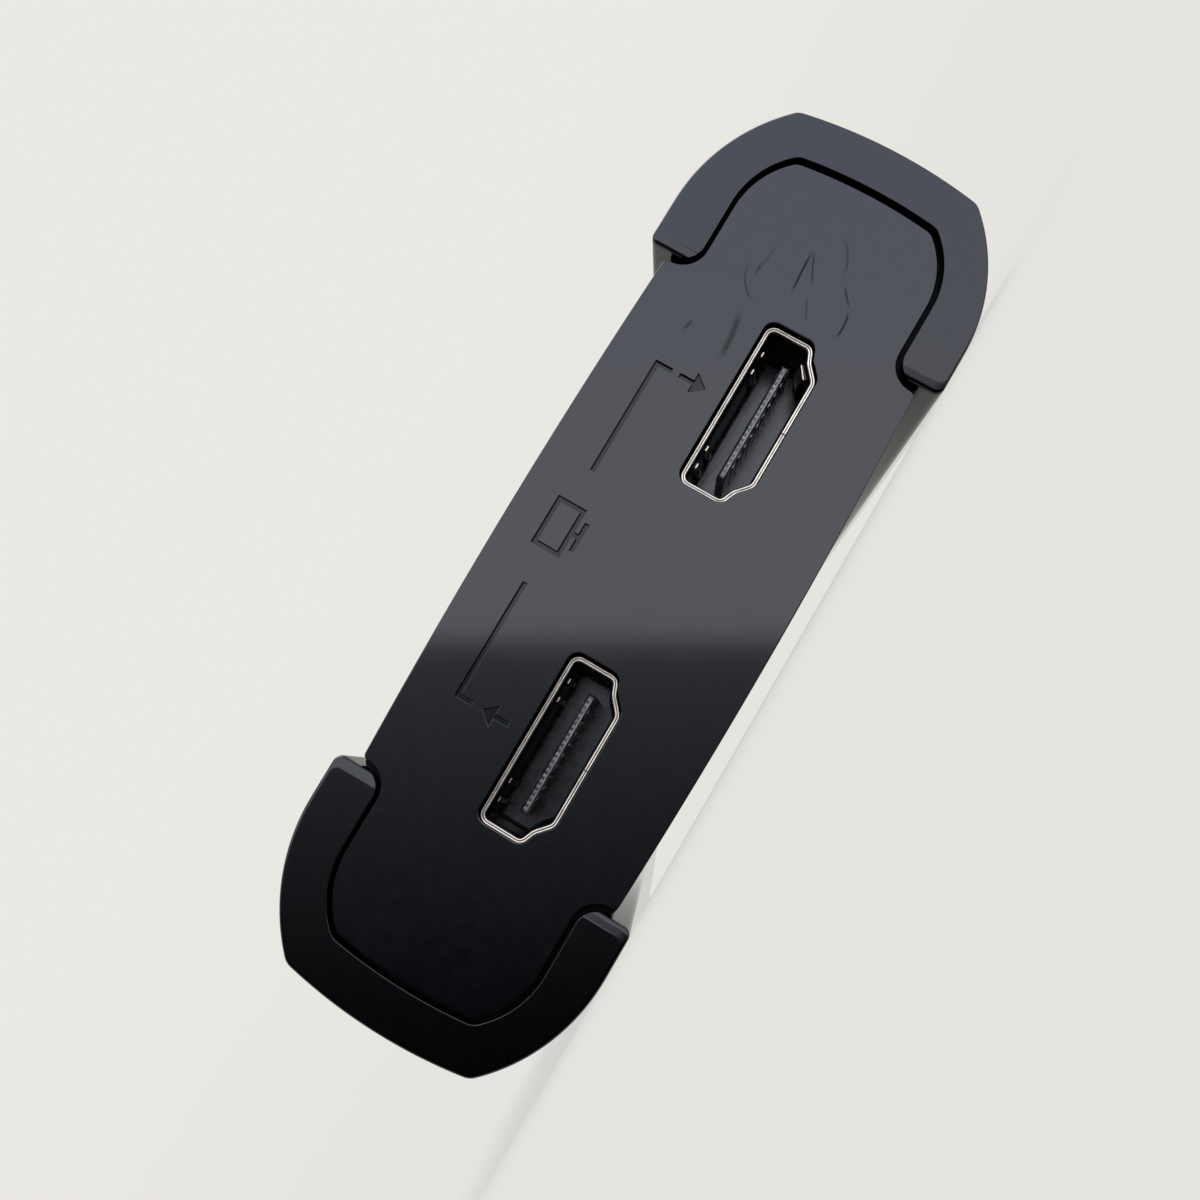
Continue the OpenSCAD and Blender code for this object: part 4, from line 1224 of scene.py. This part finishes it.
def shell_solid(port, x, y, way):
    """Bent sheet shell of a port, its mouth at depth y, reaching inward along way."""
    path = open_at_seam(port.loop)
    section = lip_section(port)
    layers = [inset(path, -grow) for grow, _ in section]
    rings = []
    for i in range(len(path)):
        corners = [(layer[i], depth) for layer, (_, depth) in zip(layers, section)]
        rings.append([(x + px, y + way * depth, half_h + pz) for (px, pz), depth in corners])
    return Solid().tube(rings)


for name, side in VIDEO_SOCKETS:
    shell = shell_solid(video_port, side * socket_x, mouth_y, 1)
    shell.make(name + "_sheet_shell", plated, [name + "_shell"], slot="plated_shell")
shell = shell_solid(data_port, data_x, -mouth_y, -1)
shell.make("data_sheet_shell", plated, ["data_port_shell"], slot="plated_shell")

# %% [markdown]
# Thin springs in each video socket press on the plug's shell: two pairs on the wide side, and in the input
# socket a broad one on a shoulder, which catches the light in the photograph.
# Each is a bowed strip on its wall.

# %% Ground springs
spring_pair = 4.6
spring_gap = 0.85
spring_w = 0.42
spring_t = 0.08
spring_start = 1.3
spring_end = 6.2
spring_bow = 0.34
spring_off = 0.02
shoulder_x = 5.75
shoulder_rise = 0.85
shoulder_way = Vector((-0.6, 0.8)).normalized()
shoulder_w = 1.25


def add_spring(solid, x, wall, inward, width, steps=12):
    """Thin bowed leg that lies on a wall: wall is a point of it, inward its direction into the port."""
    out = Vector(inward)
    along = Vector((-out.y, out.x))
    rings = []
    for i in range(steps + 1):
        share = i / steps
        depth = spring_start + (spring_end - spring_start) * share
        lift = spring_off + spring_bow * math.sin(math.pi * share)
        corners = []
        for side, high in ((-1, 0), (1, 0), (1, 1), (-1, 1)):
            corners.append(Vector(wall) + along * side * width / 2 + out * (lift + high * spring_t))
        rings.append(at_depth(shifted(corners, x), mouth_y + depth))
    solid.tube(rings)


pair_spots = [side * spring_pair + leg * spring_gap for side in (-1, 1) for leg in (-1, 1)]
springs = [((spot, video_port.top), (0, -1), spring_w) for spot in pair_spots]
shoulder_spring = ((shoulder_x, video_port.floor + shoulder_rise), shoulder_way, shoulder_w)
for name, side, legs in (("video_in", 1, springs + [shoulder_spring]), ("video_out", -1, springs)):
    solid = Solid()
    for wall, inward, width in legs:
        add_spring(solid, side * socket_x, wall, inward, width)
    solid.make(name + "_ground_springs", spring_metal, slot="plated_shell")

# %% [markdown]
# Inside each port a black moulding fills the back, and a thin blade reaches forward to carry the contacts.
# The same function builds all three: only the depth and the size of the blade differ.

# %% Cores
CORE_RIM = ((0.3, 0.0), (0.08, 0.06), (0.02, 0.3))
CORE_FIT = 0.02
blade_recess = 1.2
blade_edge = 0.16
blade_root = 0.2
video_front = 7.2
video_blade_w = 10.9
video_blade_t = 0.7
data_front = 5.0
data_blade_w = 4.6
data_blade_t = 0.8


def block(solid, low, high, soft):
    """Box between two corners, added to a solid: its edges are broken at the low corner's depth."""
    (x0, y0, z0), (x1, y1, z1) = low, high
    full = [(x0, z0), (x1, z0), (x1, z1), (x0, z1)]
    soft_y = y0 + math.copysign(soft, y1 - y0)
    solid.tube([at_depth(inset(full, soft), y0), at_depth(full, soft_y), at_depth(full, y1)])


def core_solid(port, x, y, way, front, blade_w, blade_t):
    """Insulator of a port: a plug behind a front depth, and a blade that reaches forward from it."""
    solid = Solid()
    steps = [(step, front + depth) for step, depth in CORE_RIM] + [(CORE_FIT, port.length)]
    solid.tube([at_depth(shifted(inset(port.loop, step), x), y + way * depth) for step, depth in steps])
    low = (x - blade_w / 2, y + way * blade_recess, port.middle - blade_t / 2)
    high = (x + blade_w / 2, y + way * (front + blade_root), port.middle + blade_t / 2)
    block(solid, low, high, blade_edge)
    return solid


for name, side in VIDEO_SOCKETS:
    core = core_solid(video_port, side * socket_x, mouth_y, 1, video_front, video_blade_w, video_blade_t)
    core.make(name + "_insulator", dusty, [name + "_core"], slot="black_insulator")
core = core_solid(data_port, data_x, -mouth_y, -1, data_front, data_blade_w, data_blade_t)
core.make("data_insulator", insulator, ["data_port_core"], slot="black_insulator")

# %% [markdown]
# Contacts are narrow strips, partly sunk into the blade. In a video socket ten lie above and nine below.
# Fine teeth stand on a light strip along the front edge of the blade: one for every contact of both rows,
# and one more at each end.

# %% Contacts and teeth
pin_w = 0.4
pin_t = 0.12
pin_sink = 0.08
pin_soft = 0.03
pin_root = 0.1
video_pitch = 1.0
video_pin_back = 0.35
data_pitch = 0.8
data_pin_back = 0.1
tooth_count = 21
tooth_w = 0.26
tooth_h = 0.24
tooth_d = 0.25
tooth_soft = 0.03
tooth_proud = 0.01
strip_h = 0.13
strip_soft = 0.02
strip_proud = 0.02


def row_places(x, count, pitch):
    """Places of a row of pieces about a middle."""
    return [x + (i - (count - 1) / 2) * pitch for i in range(count)]


def contact_rows(x, y, way, rows, pitch, start, end):
    """Contact strips between two depths: a row gives its count, the blade's face and the way it looks."""
    solid = Solid()
    for count, face, up in rows:
        sunk, proud = sorted((face - up * pin_sink, face + up * (pin_t - pin_sink)))
        for pin_x in row_places(x, count, pitch):
            low = (pin_x - pin_w / 2, y + way * start, sunk)
            high = (pin_x + pin_w / 2, y + way * end, proud)
            block(solid, low, high, pin_soft)
    return solid


def teeth_solid(x):
    """Front edge of a video blade: a light strip, and the teeth on it."""
    solid = Solid()
    pitch = video_pitch / 2
    half = ((tooth_count - 1) * pitch + tooth_w) / 2
    front = mouth_y + blade_recess - strip_proud
    back = front + tooth_d
    low = video_port.middle - video_blade_t / 2 + blade_edge
    high = low + strip_h
    block(solid, (x - half, front, low), (x + half, back, high), strip_soft)
    for tooth_x in row_places(x, tooth_count, pitch):
        corner = (tooth_x - tooth_w / 2, front - tooth_proud, high)
        block(solid, corner, (tooth_x + tooth_w / 2, back, high + tooth_h), tooth_soft)
    return solid


video_top, video_under = [video_port.middle + side * video_blade_t / 2 for side in (1, -1)]
video_rows = [(10, video_top, 1), (9, video_under, -1)]
video_run = (blade_recess + video_pin_back, video_front + pin_root)
for name, side in VIDEO_SOCKETS:
    pins = contact_rows(side * socket_x, mouth_y, 1, video_rows, video_pitch, *video_run)
    pins.make(name + "_pins", contact_metal, [name + "_contacts"], slot="plated_contact")
    teeth_solid(side * socket_x).make(name + "_blade_teeth", teeth_grey, slot="plated_contact")
data_rows = [(5, data_port.middle + data_blade_t / 2, 1)]
data_run = (blade_recess + data_pin_back, data_front + pin_root)
pins = contact_rows(data_x, -mouth_y, -1, data_rows, data_pitch, *data_run)
pins.make("data_pins", contact_metal, ["data_port_contacts"], slot="plated_contact")

# %% [markdown]
# The sound jack is a round nose with a bore. Its profile, spun about an axis that runs along the depth,
# goes out along the bore, widens into a lead for the plug, and comes back along the nose.

# %% Sound jack
NOSE_STEPS = 64
jack_bore_r = 1.8
jack_soft = 0.25
lead = ((0.0, 0.6), (0.3, 0.12), (0.42, 0.0))


def jack_profile():
    """Half section of the nose, (radius, depth) pairs."""
    low, high = box_mm("audio_jack_body")
    soft = [(jack_soft, 0), (jack_soft * ROUND_MIDDLE, jack_soft * ROUND_MIDDLE), (0, jack_soft)]
    bore = [(jack_bore_r + step, high.y - depth) for step, depth in lead]
    nose = [(jack_nose_r - step, high.y - depth) for step, depth in soft]
    return [(jack_bore_r, low.y)] + bore + nose + [(jack_nose_r, low.y)]


nose = Solid().hoop([at_depth(circle(jack_at, radius, NOSE_STEPS), y) for radius, y in jack_profile()])
nose.make("sound_jack_nose", insulator, ["audio_jack_body"], slot="black_insulator")

# %% [markdown]
# The box lies on a plain pale floor. The camera looks almost along it, and in the photograph the slot below
# the case is open to the light, so the floor has an opening there, which the case hides from above.
# For the camera a glow lifts the floor's shadow, which would be a hard line when seen from so low.

# %% Floor
FLOOR_REACH = 4000
FLOOR_LIFT = 0.8
floor_hole_x = 22
floor_hole_back = 5
floor_hole_y = half_d - floor_hole_back
floor_colour = (0.785, 0.775, 0.740)

paper = Finish("pale_paper")
paper.set(Base_Color=floor_colour, Roughness=1.0, Specular_IOR_Level=0.0)
glow = paper.node("ShaderNodeEmission", {}, {"Color": floor_colour})
paper.cover(paper.node("ShaderNodeLightPath", {}, {}, "Is Camera Ray") * FLOOR_LIFT, glow)
floor_solid = Solid()
floor_solid.stack([
    [(sx * FLOOR_REACH, sy * FLOOR_REACH, 0) for sx, sy in CORNERS],
    [(sx * floor_hole_x, sy * floor_hole_y, 0) for sx, sy in CORNERS],
])
floor = floor_solid.shape("floor", paper)
floor.visible_glossy = False
print("floor with an opening below the case")

# %% [markdown]
# The room is a white tent. Its walls are seen by the camera and in reflections, and a weaker, even light
# from all round fills the shadows. One soft sun from above gives the box its shadow on the floor.

# %% World and sun
WALL_RISE = 0.3
FILL_LIGHT = 0.40
SUN_LIGHT = 2.35
SUN_WIDTH = math.radians(50)
SUN_TURN = (math.radians(-12), math.radians(35), 0)
wall_colour = (0.830, 0.815, 0.770)

world = bpy.data.worlds.new("white_tent")
bpy.context.scene.world = world
tent = Graph(world)
tent.tree.nodes.remove(tent.tree.nodes["Background"])
camera_ray = tent.node("ShaderNodeLightPath", {}, {}, "Is Camera Ray")
seen = camera_ray.most(camera_ray.other("Is Glossy Ray").most(camera_ray.other("Is Transmission Ray")))
direction = tent.node("ShaderNodeTexCoord", {}, {}, "Generated")
height = tent.node("ShaderNodeSeparateXYZ", {}, {0: direction}, "Z")
walls = tent.blend(height.ease(0.0, WALL_RISE), floor_colour, wall_colour)
shown = tent.node("ShaderNodeBackground", {}, {"Color": walls})
fill = tent.node("ShaderNodeBackground", {}, {"Color": (1, 1, 1), "Strength": FILL_LIGHT})
tent.plug(tent.tree.nodes["World Output"].inputs["Surface"], tent.mix(seen, fill, shown))

sun_data = bpy.data.lights.new("soft_sun", "SUN")
sun_data.energy = SUN_LIGHT
sun_data.angle = SUN_WIDTH
sun = bpy.data.objects.new("soft_sun", sun_data)
sun.rotation_euler = SUN_TURN
bpy.context.scene.collection.objects.link(sun)
print("tent and sun")

# %% [markdown]
# In the photograph the panel mirrors a bright window on one side and a dark room on the other, with a soft
# edge between them. One large card stands behind the camera for that, and only reflections see it.
# Its place is found with a mirror image: the camera, reflected in the panel, looks through the edge's line.

# %% Reflector card
CARD_AWAY = 300
CARD_REACH = 800
CARD_GLOW = 2.1
EDGE_SOFT = 5
DARK_AT = 125
ROOM_FALL = 1.5
ROOM_GLOW = 0.29
DAY_FROM = 20
DAY_TO = 220
edge_high = Vector((-12.3, face_y, 24.0))
edge_low = Vector((0.9, face_y, 1.4))
mirror_eye = Vector((camera_at.x, 2 * face_y - camera_at.y, camera_at.z))
card_scale = 1 + CARD_AWAY / (face_y - camera_at.y)


def behind_camera(point):
    """Where the mirrored camera sees a point of the panel, on the plane of the card."""
    return mirror_eye + (point - mirror_eye) * card_scale


def room_finish():
    """Glow of the card: a pale window on one side of the edge, a room that darkens on the other."""
    finish = Finish("room_card")
    across, _, _ = finish.axes()
    near_edge = (1 + across / DARK_AT).most(0.0).least(1.0) ** ROOM_FALL * ROOM_GLOW
    room = finish.blend(near_edge, (0, 0, 0), (0.93, 1.00, 1.14))
    window = finish.blend(across.ease(DAY_FROM, DAY_TO), (1.07, 1.08, 1.21), (0.87, 0.985, 1.24))
    finish.set(Base_Color=(0, 0, 0), Specular_IOR_Level=0.0, Roughness=1.0, Emission_Strength=CARD_GLOW)
    return finish.set(Emission_Color=finish.blend(across.ease(-EDGE_SOFT, EDGE_SOFT), room, window))


high, low = behind_camera(edge_high), behind_camera(edge_low)
card_up = (high - low).normalized()
card_across = Vector((card_up.z, 0, -card_up.x))
card_solid = Solid()
card_solid.cap(card_solid.ring([(sx * CARD_REACH, sy * CARD_REACH, 0) for sx, sy in CORNERS]))
card = card_solid.shape("room_card", room_finish())
turn = Matrix((card_across, card_up, card_across.cross(card_up))).transposed()
card.matrix_world = Matrix.Translation((high + low) / 2 * MM) @ turn.to_4x4()
card.visible_camera = False
card.visible_diffuse = False
card.visible_shadow = False
card.visible_transmission = False
print("card at", [round(value / MM) for value in card.matrix_world.translation])
